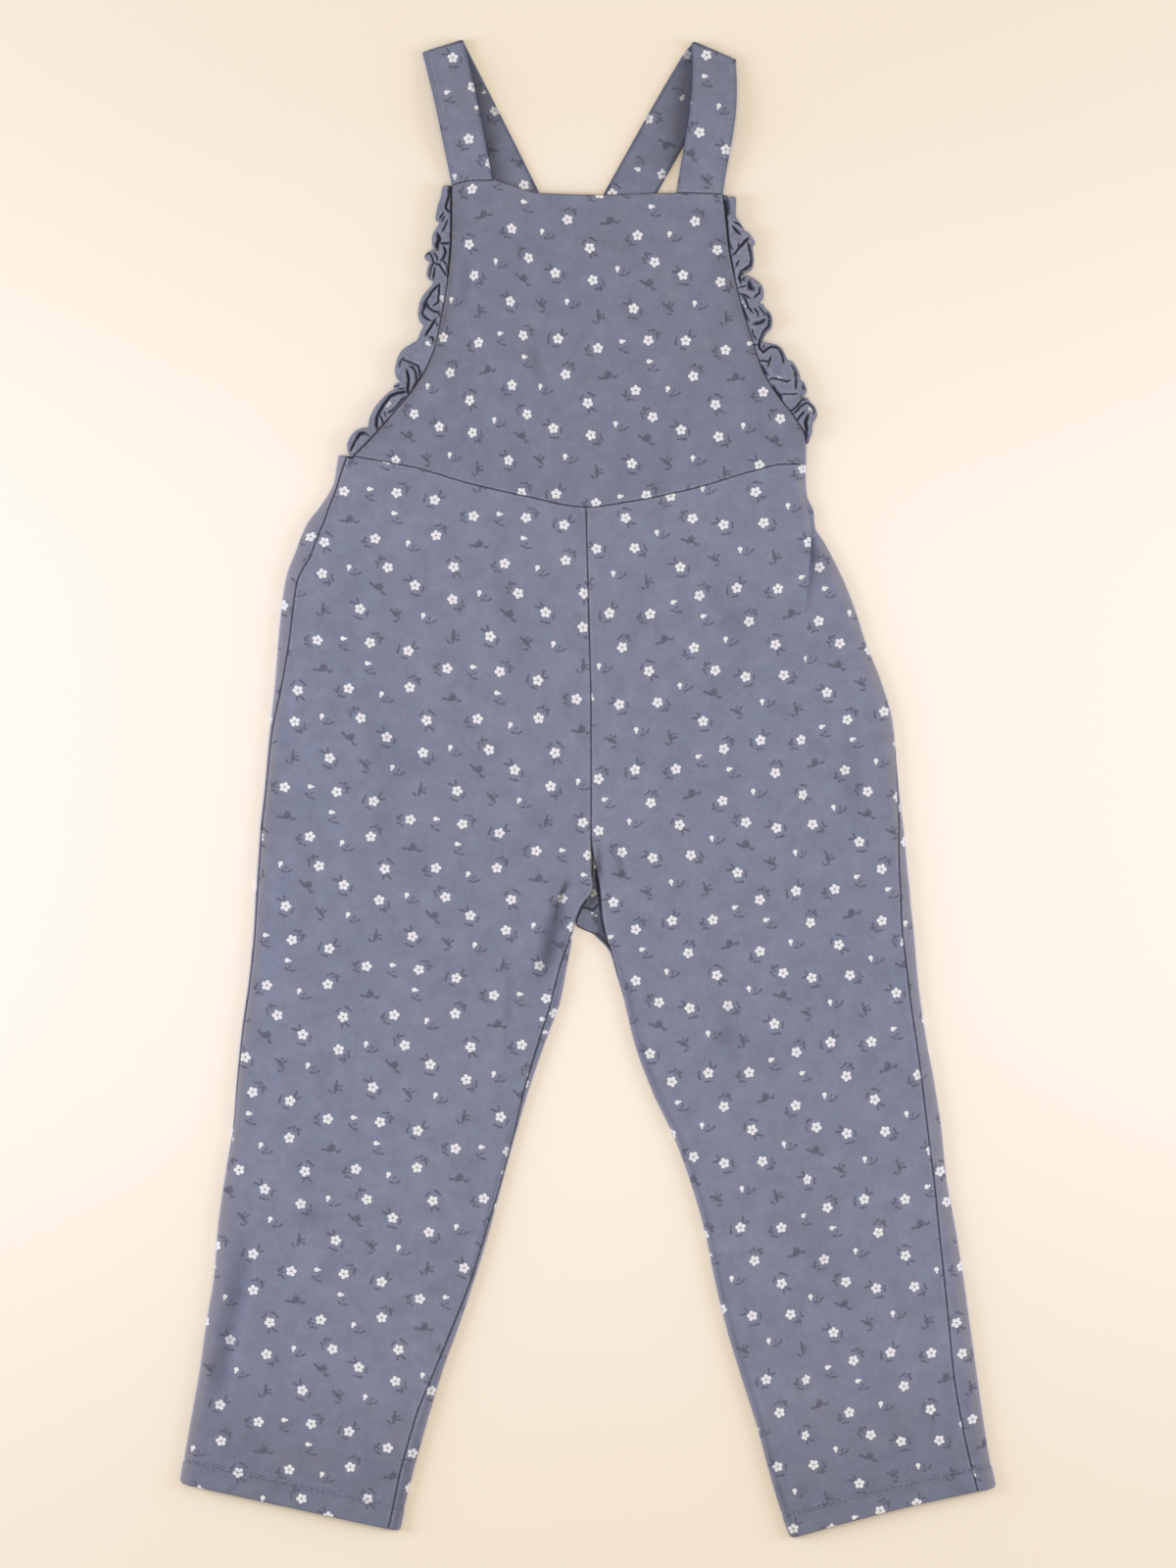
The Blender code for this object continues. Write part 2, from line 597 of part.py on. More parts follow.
def band_point(across, up):
    """The underside of the back waist piece."""
    right_x = BAND_LOWER[0] + (BAND_UPPER[0] - BAND_LOWER[0]) * up
    left_x = BAND_LOWER[1] + (BAND_UPPER[1] - BAND_LOWER[1]) * up
    x = right_x + (left_x - right_x) * across
    (x0, y0), (x1, y1) = BACK_WAIST[:2] if x <= BACK_WAIST[1][0] else BACK_WAIST[1:]
    low_y = y0 + (y1 - y0) * (x - x0) / (x1 - x0) + SEAM
    return Vector((x, low_y + (BAND_TOP_Y - low_y) * up, 0.0))


def outward_normal(surface, a, b, step_a, step_b, sign):
    """The outer face's direction, from the way that the surface runs on each side of the point."""
    along_a = surface(a + step_a, b) - surface(a - step_a, b)
    along_b = surface(a, b + step_b) - surface(a, b - step_b)
    return along_a.cross(along_b).normalized() * sign


def new_material(name, colour):
    material = bpy.data.materials.new(name)
    material.use_nodes = True
    shader = material.node_tree.nodes["Principled BSDF"]
    shader.inputs["Base Color"].default_value = (*colour, 1.0)
    shader.inputs["Roughness"].default_value = 0.9
    shader.inputs["Metallic"].default_value = 0.0
    return material


def cloth_wall(name, surface, places, steps, sign, thickness, material, collection):
    """One piece of cloth. places[j][i] holds the two numbers that surface takes at each grid point."""
    rows, columns = len(places), len(places[0])
    bm = bmesh.new()
    bmesh.ops.create_grid(bm, x_segments=columns - 1, y_segments=rows - 1, size=0.5)
    slot = bm.verts.layers.int.new("slot")
    inner = {}
    for vert in bm.verts:
        i, j = round((vert.co.x + 0.5) * (columns - 1)), round((vert.co.y + 0.5) * (rows - 1))
        a, b = places[j][i]
        vert[slot] = j * columns + i
        vert.co = surface(a, b)
        inner[vert[slot]] = vert.co - outward_normal(surface, a, b, *steps, sign) * thickness
    skin = bmesh.ops.extrude_face_region(bm, geom=bm.faces[:], use_keep_orig=True)
    for vert in skin["geom"]:
        if isinstance(vert, bmesh.types.BMVert):
            vert.co = inner[vert[slot]]
    bm.verts.layers.int.remove(slot)
    bmesh.ops.scale(bm, vec=(MM, MM, MM), verts=bm.verts)
    bmesh.ops.recalc_face_normals(bm, faces=bm.faces)
    if bm.calc_volume(signed=True) < 0:
        bmesh.ops.reverse_faces(bm, faces=bm.faces)
    mesh = bpy.data.meshes.new(name)
    bm.to_mesh(mesh)
    bm.free()
    mesh.shade_smooth()
    mesh.set_sharp_from_angle(angle=SHARP_ANGLE)
    mesh.materials.append(material)
    piece = bpy.data.objects.new(name, mesh)
    collection.objects.link(piece)
    return piece


def leg_panels(side, table, back_inner, material_front, material_back, collection):
    """The front and the back panel of one leg, which part along the side seam and the inseam."""
    turn = 1 if side == "right" else -1
    front, back = LegLoop(table), LegLoop(table, back_inner)
    front_shares = [k / LEG_GRID["front"] for k in range(LEG_GRID["front"] + 1)]
    back_shares = [k / LEG_GRID["back"] for k in range(LEG_GRID["back"] + 1)]
    front_places, back_places = [], []
    for row in range(len(table)):
        first, last = front.side_seam(row, 1), front.inseam(row, 1)
        front_places.append([(front.spread(first, last, share, row), row) for share in front_shares])
        first, last = back.inseam(row, -1), 2 * back.over_top(row) + back.side_seam(row, -1)
        back_places.append([(back.spread(first, last, share, row), row) for share in back_shares])
    for name, loop, places, material in (
        ("front", front, front_places, material_front),
        ("back", back, back_places, material_back),
    ):
        wall = (places, SLOPE_STEPS["leg"], -turn, CLOTH, material, collection)
        cloth_wall(f"{name}_{side}_leg", loop.point, *wall)


def make_bib(material, collection):
    across = [i / BIB_COLUMNS for i in range(BIB_COLUMNS + 1)]
    places = [[(share, j / BIB_ROWS) for share in across] for j in range(BIB_ROWS + 1)]
    cloth_wall("bib", bib_point, places, SLOPE_STEPS["bib"], -1, CLOTH, material, collection)


def make_ruffle(name, folds, edge_table, outward, material, collection):
    def surface(place, share):
        return ruffle_point(folds, edge_table, outward, place, share)

    count = (len(folds) - 1) * RUFFLE_STEPS
    places = [[(k / RUFFLE_STEPS, share) for k in range(count + 1)] for share in RUFFLE_SHARES]
    steps = SLOPE_STEPS["ruffle"]
    cloth_wall(name, surface, places, steps, -outward, RUFFLE_CLOTH, material, collection)


def make_strap(name, sizes, material, collection):
    strap = Strap(sizes)
    places = [[(i / STRAP_COLUMNS, way) for i in range(STRAP_COLUMNS + 1)] for way in strap.ways()]
    cloth_wall(name, strap.point, places, SLOPE_STEPS["strap"], 1, DOUBLED, material, collection)


def make_band(material, collection):
    places = [[(i / BAND_COLUMNS, j / 2) for i in range(BAND_COLUMNS + 1)] for j in range(3)]
    cloth_wall("back_band", band_point, places, SLOPE_STEPS["band"], -1, DOUBLED, material, collection)


def main():
    for old in list(bpy.data.objects):
        bpy.data.objects.remove(old, do_unlink=True)
    collection = bpy.data.collections.new("Jumpsuit")
    bpy.context.scene.collection.children.link(collection)
    cloth = {name: new_material(f"jersey_{name}", colour) for name, colour in COLOURS.items()}
    leg_panels("right", RIGHT_LEG, RIGHT_BACK_INNER, cloth["front"], cloth["back"], collection)
    leg_panels("left", LEFT_LEG, LEFT_BACK_INNER, cloth["front"], cloth["back"], collection)
    make_bib(cloth["bib"], collection)
    make_ruffle("ruffle_right", RIGHT_RUFFLE, BIB_RIGHT_SIDE, 1, cloth["trim"], collection)
    make_ruffle("ruffle_left", LEFT_RUFFLE, BIB_LEFT_SIDE, -1, cloth["trim"], collection)
    make_strap("strap_right", STRAP_RIGHT, cloth["trim"], collection)
    make_strap("strap_left", STRAP_LEFT, cloth["trim"], collection)
    make_band(cloth["back"], collection)


main()
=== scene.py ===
# %% [markdown]
# # A toddler's jumpsuit, laid flat
#
# The jumpsuit is sewn from ten pieces of printed cotton jersey. Each piece becomes one thin wall of cloth
# here. The frame brings the same pieces as plain solids, so this script knows where each one lies, and it
# replaces each solid by a finer shell: closer sections, soft creases, stitches, gathers, print and weave.

# %% Load the frame
import math
from bisect import bisect_right
from collections import namedtuple

import bmesh
import bpy
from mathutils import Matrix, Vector, noise


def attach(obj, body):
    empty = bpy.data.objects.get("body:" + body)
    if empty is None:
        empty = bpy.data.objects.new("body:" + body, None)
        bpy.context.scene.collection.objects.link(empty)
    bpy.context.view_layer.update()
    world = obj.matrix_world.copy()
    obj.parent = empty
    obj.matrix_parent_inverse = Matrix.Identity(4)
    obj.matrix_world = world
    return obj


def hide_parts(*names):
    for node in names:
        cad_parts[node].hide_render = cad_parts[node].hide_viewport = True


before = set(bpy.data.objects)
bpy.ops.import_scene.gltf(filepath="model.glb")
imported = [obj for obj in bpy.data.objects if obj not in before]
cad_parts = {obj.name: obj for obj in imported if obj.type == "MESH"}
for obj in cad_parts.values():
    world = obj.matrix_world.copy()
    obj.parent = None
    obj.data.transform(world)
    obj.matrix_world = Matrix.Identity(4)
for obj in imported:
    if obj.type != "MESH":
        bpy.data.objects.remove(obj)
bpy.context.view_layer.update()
MM = 0.001
print("pieces in the frame:", ", ".join(sorted(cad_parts)))

# %% [markdown]
# ## Camera, table and light
#
# A garment for sale is laid on a pale board and seen straight from above. A long lens keeps the hems as
# straight as the shoulders. Two wide, low lamps would do for a flat thing, but cloth needs soft light from
# all round as well, so that its creases stay shallow. The low side lamps are cool. The one above and the
# light from all round are warm, so the shadows beside the cloth turn warm, as beside a window.

# %% Camera
SCENE = bpy.context.scene
VIEW_HEIGHT = 0.880  # height of the picture on the board
VIEW_CENTRE_Y = 0.00275
CAMERA_HEIGHT = 3.6
SENSOR = 36.0

camera_data = bpy.data.cameras.new("Camera")
camera_data.sensor_fit = "VERTICAL"
camera_data.sensor_height = SENSOR
camera_data.lens = SENSOR * CAMERA_HEIGHT / VIEW_HEIGHT
camera_data.clip_end = 20.0
camera = bpy.data.objects.new("Camera", camera_data)
camera.location = (0.0, VIEW_CENTRE_Y, CAMERA_HEIGHT)
SCENE.collection.objects.link(camera)
SCENE.camera = camera
SCENE.view_settings.view_transform = "Standard"
print(f"lens {camera_data.lens:.0f} mm at {CAMERA_HEIGHT} m")

# %% Lamps
LAMPS = (  # name, place, size, watts, colour
    ("Lamp_left", (-1.5, 0.05, 0.50), (0.7, 1.2), 22.5, (0.65, 0.77, 1.0)),
    ("Lamp_right", (1.5, 0.05, 0.50), (0.7, 1.2), 18.5, (0.65, 0.77, 1.0)),
    ("Lamp_above", (0.0, 0.06, 2.4), (1.3, 1.3), 21.8, (1.0, 0.88, 0.66)),
)
WORLD_COLOUR = (1.0, 0.84, 0.56)
WORLD_STRENGTH = 0.50

for name, place, size, watts, colour in LAMPS:
    lamp_data = bpy.data.lights.new(name, "AREA")
    lamp_data.shape = "RECTANGLE"
    lamp_data.size, lamp_data.size_y = size
    lamp_data.energy = watts
    lamp_data.color = colour
    lamp = bpy.data.objects.new(name, lamp_data)
    lamp.location = place
    lamp.rotation_euler = Vector(place).to_track_quat("Z", "Y").to_euler()
    SCENE.collection.objects.link(lamp)

world = bpy.data.worlds.new("World")
world.use_nodes = True
background = world.node_tree.nodes["Background"]
background.inputs["Color"].default_value = (*WORLD_COLOUR, 1.0)
background.inputs["Strength"].default_value = WORLD_STRENGTH
SCENE.world = world

# %% [markdown]
# ## A few words for the node editor
#
# Every material here is drawn by formulas, so it needs a lot of small maths nodes. Wiring them one by one
# takes four lines each. This helper gives each kind of node one short call that returns its output, so that
# a formula reads from left to right.


# %% Node helper
class Nodes:
    """Short calls for the nodes of one tree."""

    def __init__(self, tree):
        self.tree = tree

    def add(self, kind, **settings):
        """A new node; the settings are properties of it."""
        node = self.tree.nodes.new(kind)
        for name, value in settings.items():
            setattr(node, name, value)
        return node

    def put(self, socket, value):
        """Links an output to the socket, or sets a constant on it."""
        if isinstance(value, bpy.types.NodeSocket):
            self.tree.links.new(value, socket)
        else:
            socket.default_value = value

    def math(self, operation, *values):
        node = self.add("ShaderNodeMath", operation=operation)
        for socket, value in zip(node.inputs, values):
            self.put(socket, value)
        return node.outputs[0]

    def vector(self, operation, *values):
        node = self.add("ShaderNodeVectorMath", operation=operation)
        for socket, value in zip(node.inputs, values):
            self.put(socket, value)
        return node.outputs["Value" if operation in ("LENGTH", "DOT_PRODUCT") else "Vector"]

    def mix(self, share, first, second, kind="FLOAT"):
        node = self.add("ShaderNodeMix", data_type=kind)
        place = {"FLOAT": (2, 3, 0), "VECTOR": (4, 5, 1), "RGBA": (6, 7, 2)}[kind]
        self.put(node.inputs[0], share)
        self.put(node.inputs[place[0]], first)
        self.put(node.inputs[place[1]], second)
        return node.outputs[place[2]]

    def fade(self, value, full, none):
        """1 at full, 0 at none, soft between them."""
        low, high = min(full, none), max(full, none)
        node = self.add("ShaderNodeMapRange", interpolation_type="SMOOTHSTEP")
        ends = float(full < none), float(full > none)
        for socket, number in zip(node.inputs, (value, low, high, *ends)):
            self.put(socket, number)
        return node.outputs[0]

    def noise(self, place, scale, detail=2.0, roughness=0.5):
        node = self.add("ShaderNodeTexNoise")
        self.put(node.inputs["Vector"], place)
        set_values(node, {"Scale": scale, "Detail": detail, "Roughness": roughness})
        return node.outputs[0]

    def xyz(self, vector):
        node = self.add("ShaderNodeSeparateXYZ")
        self.put(node.inputs[0], vector)
        return node.outputs[:3]

    def attribute(self, name, output="Fac"):
        return self.add("ShaderNodeAttribute", attribute_name=name).outputs[output]

    def off_stroke(self, gone, run):
        """Distance to a straight stroke, at a place that lies gone from its start; run leads to its end."""
        share = self.vector("DOT_PRODUCT", gone, run / run.length_squared)
        share = self.math("MINIMUM", self.math("MAXIMUM", share, 0.0), 1.0)
        return self.vector("LENGTH", self.vector("SUBTRACT", gone, self.vector("MULTIPLY", share, run)))


def set_values(node, values):
    """Sets constants on a node's own sockets, by name."""
    for name, value in values.items():
        node.inputs[name].default_value = value


def new_material(name):
    """A material, the node helper for it, and its shader."""
    material = bpy.data.materials.new(name)
    material.use_nodes = True
    return material, Nodes(material.node_tree), material.node_tree.nodes["Principled BSDF"]


def new_object(name, bm):
    """An object made from a bmesh, which is freed."""
    mesh = bpy.data.meshes.new(name)
    bm.to_mesh(mesh)
    bm.free()
    made = bpy.data.objects.new(name, mesh)
    SCENE.collection.objects.link(made)
    return made


# %% [markdown]
# ## The board
#
# The board is only a stage, so one flat square does. Its cream is a little darker towards its ends, which is
# painted shade, as painted board looks under soft light.

# %% Board
BOARD_SIZE = 8.0
BOARD_LIGHT = (0.883, 0.834, 0.824)
# painted shade: the board's colour towards its ends
BOARD_SHADED = (0.818, 0.763, 0.705)
BOARD_SHADE_ENDS = (0.44, 0.10)  # full darkness and none, in metres from the middle
BOARD_SINK = 0.2  # mm under the lowest cloth

bm = bmesh.new()
bmesh.ops.create_grid(bm, x_segments=1, y_segments=1, size=BOARD_SIZE / 2)
board = new_object("Board", bm)
board.location.z = -BOARD_SINK * MM
board_paint, nodes, shader = new_material("Board")
_, board_y, _ = nodes.xyz(nodes.add("ShaderNodeTexCoord").outputs["Object"])
# painted shade: the board is darker towards its ends
end_shade = nodes.fade(nodes.math("ABSOLUTE", board_y), *BOARD_SHADE_ENDS)
nodes.put(shader.inputs["Base Color"], nodes.mix(end_shade, (*BOARD_LIGHT, 1), (*BOARD_SHADED, 1), "RGBA"))
set_values(shader, {"Roughness": 0.75, "Specular IOR Level": 0.2})
board.data.materials.append(board_paint)
print(f"board: {BOARD_SIZE} m square")

# %% [markdown]
# ## The print
#
# The cloth has an ordinary ditsy print: small white flowers and buds with a dark spray beside each. It
# repeats every 72 mm across and 88.5 mm down. A picture of it could be wrapped on the cloth, but a drawing
# by formula stays sharp at any distance. Each motif is one row of a table. For every point of the cloth,
# the shader wraps the point into the repeat around each motif and keeps the nearest one. Then it draws that
# motif's petals, bud or leaves from the distance and the direction to its middle.

# %% Print chart
REPEAT = (72.0, 88.5)  # mm across and down
FLOWER, GARLAND, BUD, BUSH, PLANT = 0.0, 1.0, 2.0, 3.0, 4.0
# Columns: kind, across, down, turn, leaf. turn is the direction of a petal or of a bud's tail, and leaf that
# of its spray, both in degrees clockwise from straight up. A garland is a flower with a curved stem opposite.
PRINT = (
    (FLOWER, 0, 0, 36, 42),
    (GARLAND, 21.1, -0.1, 2, 40),
    (FLOWER, 43.6, 4.9, 4, 252),
    (BUD, 56.9, 0.9, 80, 165),
    (BUD, 0.4, 12, 85, 150),
    (FLOWER, 25.6, 20.1, -17, 22),
    (BUSH, 49.6, 20.6, 0, -18),
    (FLOWER, 65.2, 28.6, 0, 232),
    (BUD, 11.3, 27.2, 190, 128),
    (GARLAND, 38.3, 36.2, 36, 152),
    (FLOWER, 3, 43.7, -31, 300),
    (BUD, 54.1, 47.6, 182, 125),
    (GARLAND, 19.1, 50.9, -6, 305),
    (FLOWER, 40.3, 54.5, -21, 125),
    (BUSH, -0.2, 56.2, 0, 20),
    (BUD, 25.9, 66.6, 186, 120),
    (PLANT, 11.1, 69.5, 0, 0),
    (PLANT, 43.9, 75.4, 0, 50),
    (GARLAND, 63.5, 70.5, 9, 315),
)
PETAL_FROM, PETAL_RADIUS = 1.88, 1.11  # mm from the flower's middle to a petal's, and a petal's radius
FLOWER_HEART, FLOWER_EYE = 1.02, 0.50
BUD_RADIUS, BUD_TAIL, BUD_TAIL_FROM = 1.28, 0.62, 1.75
EDGE, LEAF_EDGE = 0.14, 0.50  # softness of a printed edge
LEAF_SPREAD, LEAF_RAG = 1.12, 1.5  # how far the dark ink has spread, and how ragged its edge is
NO_MOTIF, NO_LEAF = 20.0, 9.0  # farther than any motif or leaf reaches
# The leaves beside each kind, as strokes in mm: from right, up, to right, up, half width. Here they point up.
SPRAYS = (
    (FLOWER, 3.1, 4.4, 1.3, 6.2, 0.58),
    (FLOWER, 2.3, 7.1, 0.4, 6.7, 0.48),
    (FLOWER, -1.5, 5.9, -1.6, 7, 0.55),
    (FLOWER, -3.6, 4.1, -2.3, 5.6, 0.42),
    (FLOWER, -0.2, 4.6, 0.6, 5.9, 0.34),
    (GARLAND, -1.9, 6, -0.3, 3.7, 0.55),
    (GARLAND, 2.1, 5.4, 1.2, 3.5, 0.52),
    (GARLAND, -5.2, -1.7, -4.4, -3, 0.46),
    (GARLAND, -4, -3.9, -2.7, -5.3, 0.60),
    (GARLAND, 0.5, -5.2, 2.9, -3.6, 0.46),
    (BUD, 2.2, 3.8, 1.1, 5.3, 0.50),
    (BUD, 0, 3.9, -1.7, 3.5, 0.32),
    (BUD, 0, 6.2, -2.2, 6.9, 0.50),
    (BUSH, -5, 0.1, -3.4, -0.3, 0.64),
    (BUSH, -1.8, -0.6, 0.8, -0.4, 1.02),
    (BUSH, -0.8, 1.1, 1.4, 1, 0.84),
    (BUSH, -0.2, 2.6, 0.6, 2.4, 0.48),
    (BUSH, 2.5, -1.2, 3.4, -2.1, 0.58),
    (BUSH, 4.1, -2, 4.7, -1.3, 0.46),
    (PLANT, -3.1, 2, -2.1, 1.4, 0.60),
    (PLANT, -0.7, 0.7, 0.8, -0.4, 1.10),
    (PLANT, 1.9, 1.3, 2.7, 2, 0.58),
    (PLANT, 0.2, 2.5, 0.6, 3.2, 0.42),
    (PLANT, 1.6, -1.6, 2.4, -2, 0.52),
    (PLANT, -0.2, -3.9, 1.6, -3.7, 0.52),
)


def print_group():
    """A node group that draws the print: white and dark shares at a place on the cloth, in mm."""
    tree = bpy.data.node_groups.new("Ditsy_print", "ShaderNodeTree")
    tree.interface.new_socket("Place", in_out="INPUT", socket_type="NodeSocketVector")
    tree.interface.new_socket("White", in_out="OUTPUT", socket_type="NodeSocketFloat")
    tree.interface.new_socket("Dark", in_out="OUTPUT", socket_type="NodeSocketFloat")
    n = Nodes(tree)
    place = n.add("NodeGroupInput").outputs[0]

    # the nearest motif: where this place lies from its middle, and the motif's own traits
    offset, reach, traits = (NO_MOTIF, NO_MOTIF, 0.0), NO_MOTIF, (0.0, 0.0, 0.0)
    half = Vector((REPEAT[0] / 2, REPEAT[1] / 2, 1.0))
    for kind, across, down, turn, leaf in PRINT:
        middle = Vector((across, down, 0.0))
        here = n.vector("SUBTRACT", n.vector("WRAP", place, middle + half, middle - half), middle)
        far = n.vector("LENGTH", here)
        nearer = n.math("LESS_THAN", far, reach)
        offset = n.mix(nearer, offset, here, "VECTOR")
        traits = n.mix(nearer, traits, (kind, math.radians(turn), math.radians(leaf)), "VECTOR")
        reach = n.math("MINIMUM", reach, far)
    across, down, _ = n.xyz(offset)
    kind, turn, leaf = n.xyz(traits)
    kinds = (FLOWER, GARLAND, BUD, BUSH, PLANT)
    is_kind = {number: n.math("COMPARE", kind, number, 0.5) for number in kinds}

    def away_from(radius, angle):
        """Distance to a point at a radius and an angle beside this point's own."""
        squares = n.math("MULTIPLY_ADD", reach, reach, radius * radius)
        across_both = n.math("MULTIPLY", n.math("COSINE", angle), 2 * radius)
        return n.math("SQRT", n.math("SUBTRACT", squares, n.math("MULTIPLY", across_both, reach)))

    # petals and buds
    direction = n.math("ARCTAN2", across, n.math("MULTIPLY", down, -1.0))
    from_turn = n.math("SUBTRACT", direction, turn)
    petal = n.math("WRAP", from_turn, math.pi / 5, -math.pi / 5)
    petals = n.math("SUBTRACT", away_from(PETAL_FROM, petal), PETAL_RADIUS)
    flower = n.fade(n.math("MINIMUM", petals, n.math("SUBTRACT", reach, FLOWER_HEART)), -EDGE, EDGE)
    eye = n.fade(reach, FLOWER_EYE - EDGE, FLOWER_EYE + EDGE)
    tail = n.math("SUBTRACT", away_from(BUD_TAIL_FROM, from_turn), BUD_TAIL)
    bud = n.fade(n.math("MINIMUM", tail, n.math("SUBTRACT", reach, BUD_RADIUS)), -EDGE, EDGE)
    is_flower = n.math("ADD", is_kind[FLOWER], is_kind[GARLAND])
    flower = n.math("MULTIPLY", flower, is_flower)
    eye = n.math("MULTIPLY", eye, is_flower)
    white = n.math("MULTIPLY_ADD", bud, is_kind[BUD], n.math("SUBTRACT", flower, eye))

    # leaves, in a view turned so that the spray points up
    turned = n.add("ShaderNodeVectorRotate", rotation_type="Z_AXIS")
    n.put(turned.inputs["Vector"], offset)
    n.put(turned.inputs["Angle"], n.math("MULTIPLY", leaf, -1.0))
    ragged = n.math("MULTIPLY_ADD", n.noise(place, 1.2, 3.0, 0.75), LEAF_RAG, -LEAF_RAG / 2)
    nearest = dict.fromkeys(kinds, NO_LEAF)
    for number, right_0, up_0, right_1, up_1, half_width in SPRAYS:
        start = Vector((right_0, -up_0, 0.0))
        run = Vector((right_1, -up_1, 0.0)) - start
        off = n.off_stroke(n.vector("SUBTRACT", turned.outputs[0], start), run)
        off = n.math("SUBTRACT", off, LEAF_SPREAD * half_width)
        nearest[number] = n.math("MINIMUM", nearest[number], off)
    dark = eye
    for number, off in nearest.items():
        leaves = n.fade(n.math("ADD", off, ragged), -LEAF_EDGE, LEAF_EDGE)
        dark = n.math("MULTIPLY_ADD", leaves, is_kind[number], dark)

    out = n.add("NodeGroupOutput")
    n.put(out.inputs["White"], white)
    n.put(out.inputs["Dark"], dark)
    print(f"print: {len(PRINT)} motifs, {len(tree.nodes)} nodes")
    return tree


PRINT_GROUP = print_group()

# %% [markdown]
# ## The cloth
#
# Jersey is matt, with a short soft nap that catches light at its edges, which is what sheen is for. The
# colour isn't even: washed cotton has faint patches, fine streaks along its wales, and paler thread where a
# seam has rubbed. Every wall carries its distances to its sewn edges in an attribute, so one material can
# draw the dark line of a seam, the rubbed ridge beside it and the pucker of its stitches. On the ruffles the
# same attribute also holds the distance to each fold's valley, so there the dark line is painted shade and
# the pale ridge beside it a painted highlight. Two more carry the distance to the hem's edge, and painted
# light and shade: how much darker a place is painted in a crease or a shadow, and how much paler along a
# fold's rim.

# %% Cloth materials
BLUE, BLUE_WARM = (0.185, 0.210, 0.322), (0.196, 0.210, 0.314)
REVERSE_BLUE = (0.180, 0.206, 0.338)
# the pale of worn thread, and on the ruffles of a painted highlight
WORN_AND_HIGHLIGHT = (0.330, 0.335, 0.420)
# the dark of a seam's line, and of painted shade
SEAM_AND_SHADE_DARK = (0.022, 0.028, 0.060)
# painted light: the pale, warm colour of a fold's lit rim
FOLD_LIT_COLOUR = (0.283, 0.258, 0.296)
PRINT_WHITE = (0.725, 0.745, 0.848)
PRINT_DARK = (0.088, 0.094, 0.142)
WALE = 0.9  # mm from one knitted column to the next
HEM_DEPTH = 13.8  # mm from a leg's edge to the stitches of its hem
HEM_SHADE, HEM_SHADE_RUN = 0.155, (15.0, 88.0)  # how much darker the hem is, and where that is full and none
WHITE_COVER, DARK_COVER, DARK_UNEVEN = 0.97, 0.49, 0.38  # shares of the cloth that the inks cover
BUD_COVER, BUD_EDGE, BUD_ON_REVERSE = 0.92, 0.3, (0.80, 0.86, 1.0)
RUB_AND_HIGHLIGHT_RUN = (0.35, 0.8, 2.4)  # mm from a seam to where its rubbed ridge starts, is full, and ends
LINE_RUN, HEM_LINE_RUN, PULL_RUN = (0.10, 0.85), (0.2, 2.6), (0.5, 5.0)  # full and none, mm from the seam
KNIT_HEIGHT, GRAIN_HEIGHT, PULL_HEIGHT, HEM_PULL = 0.020, 0.10, 0.9, 1.6


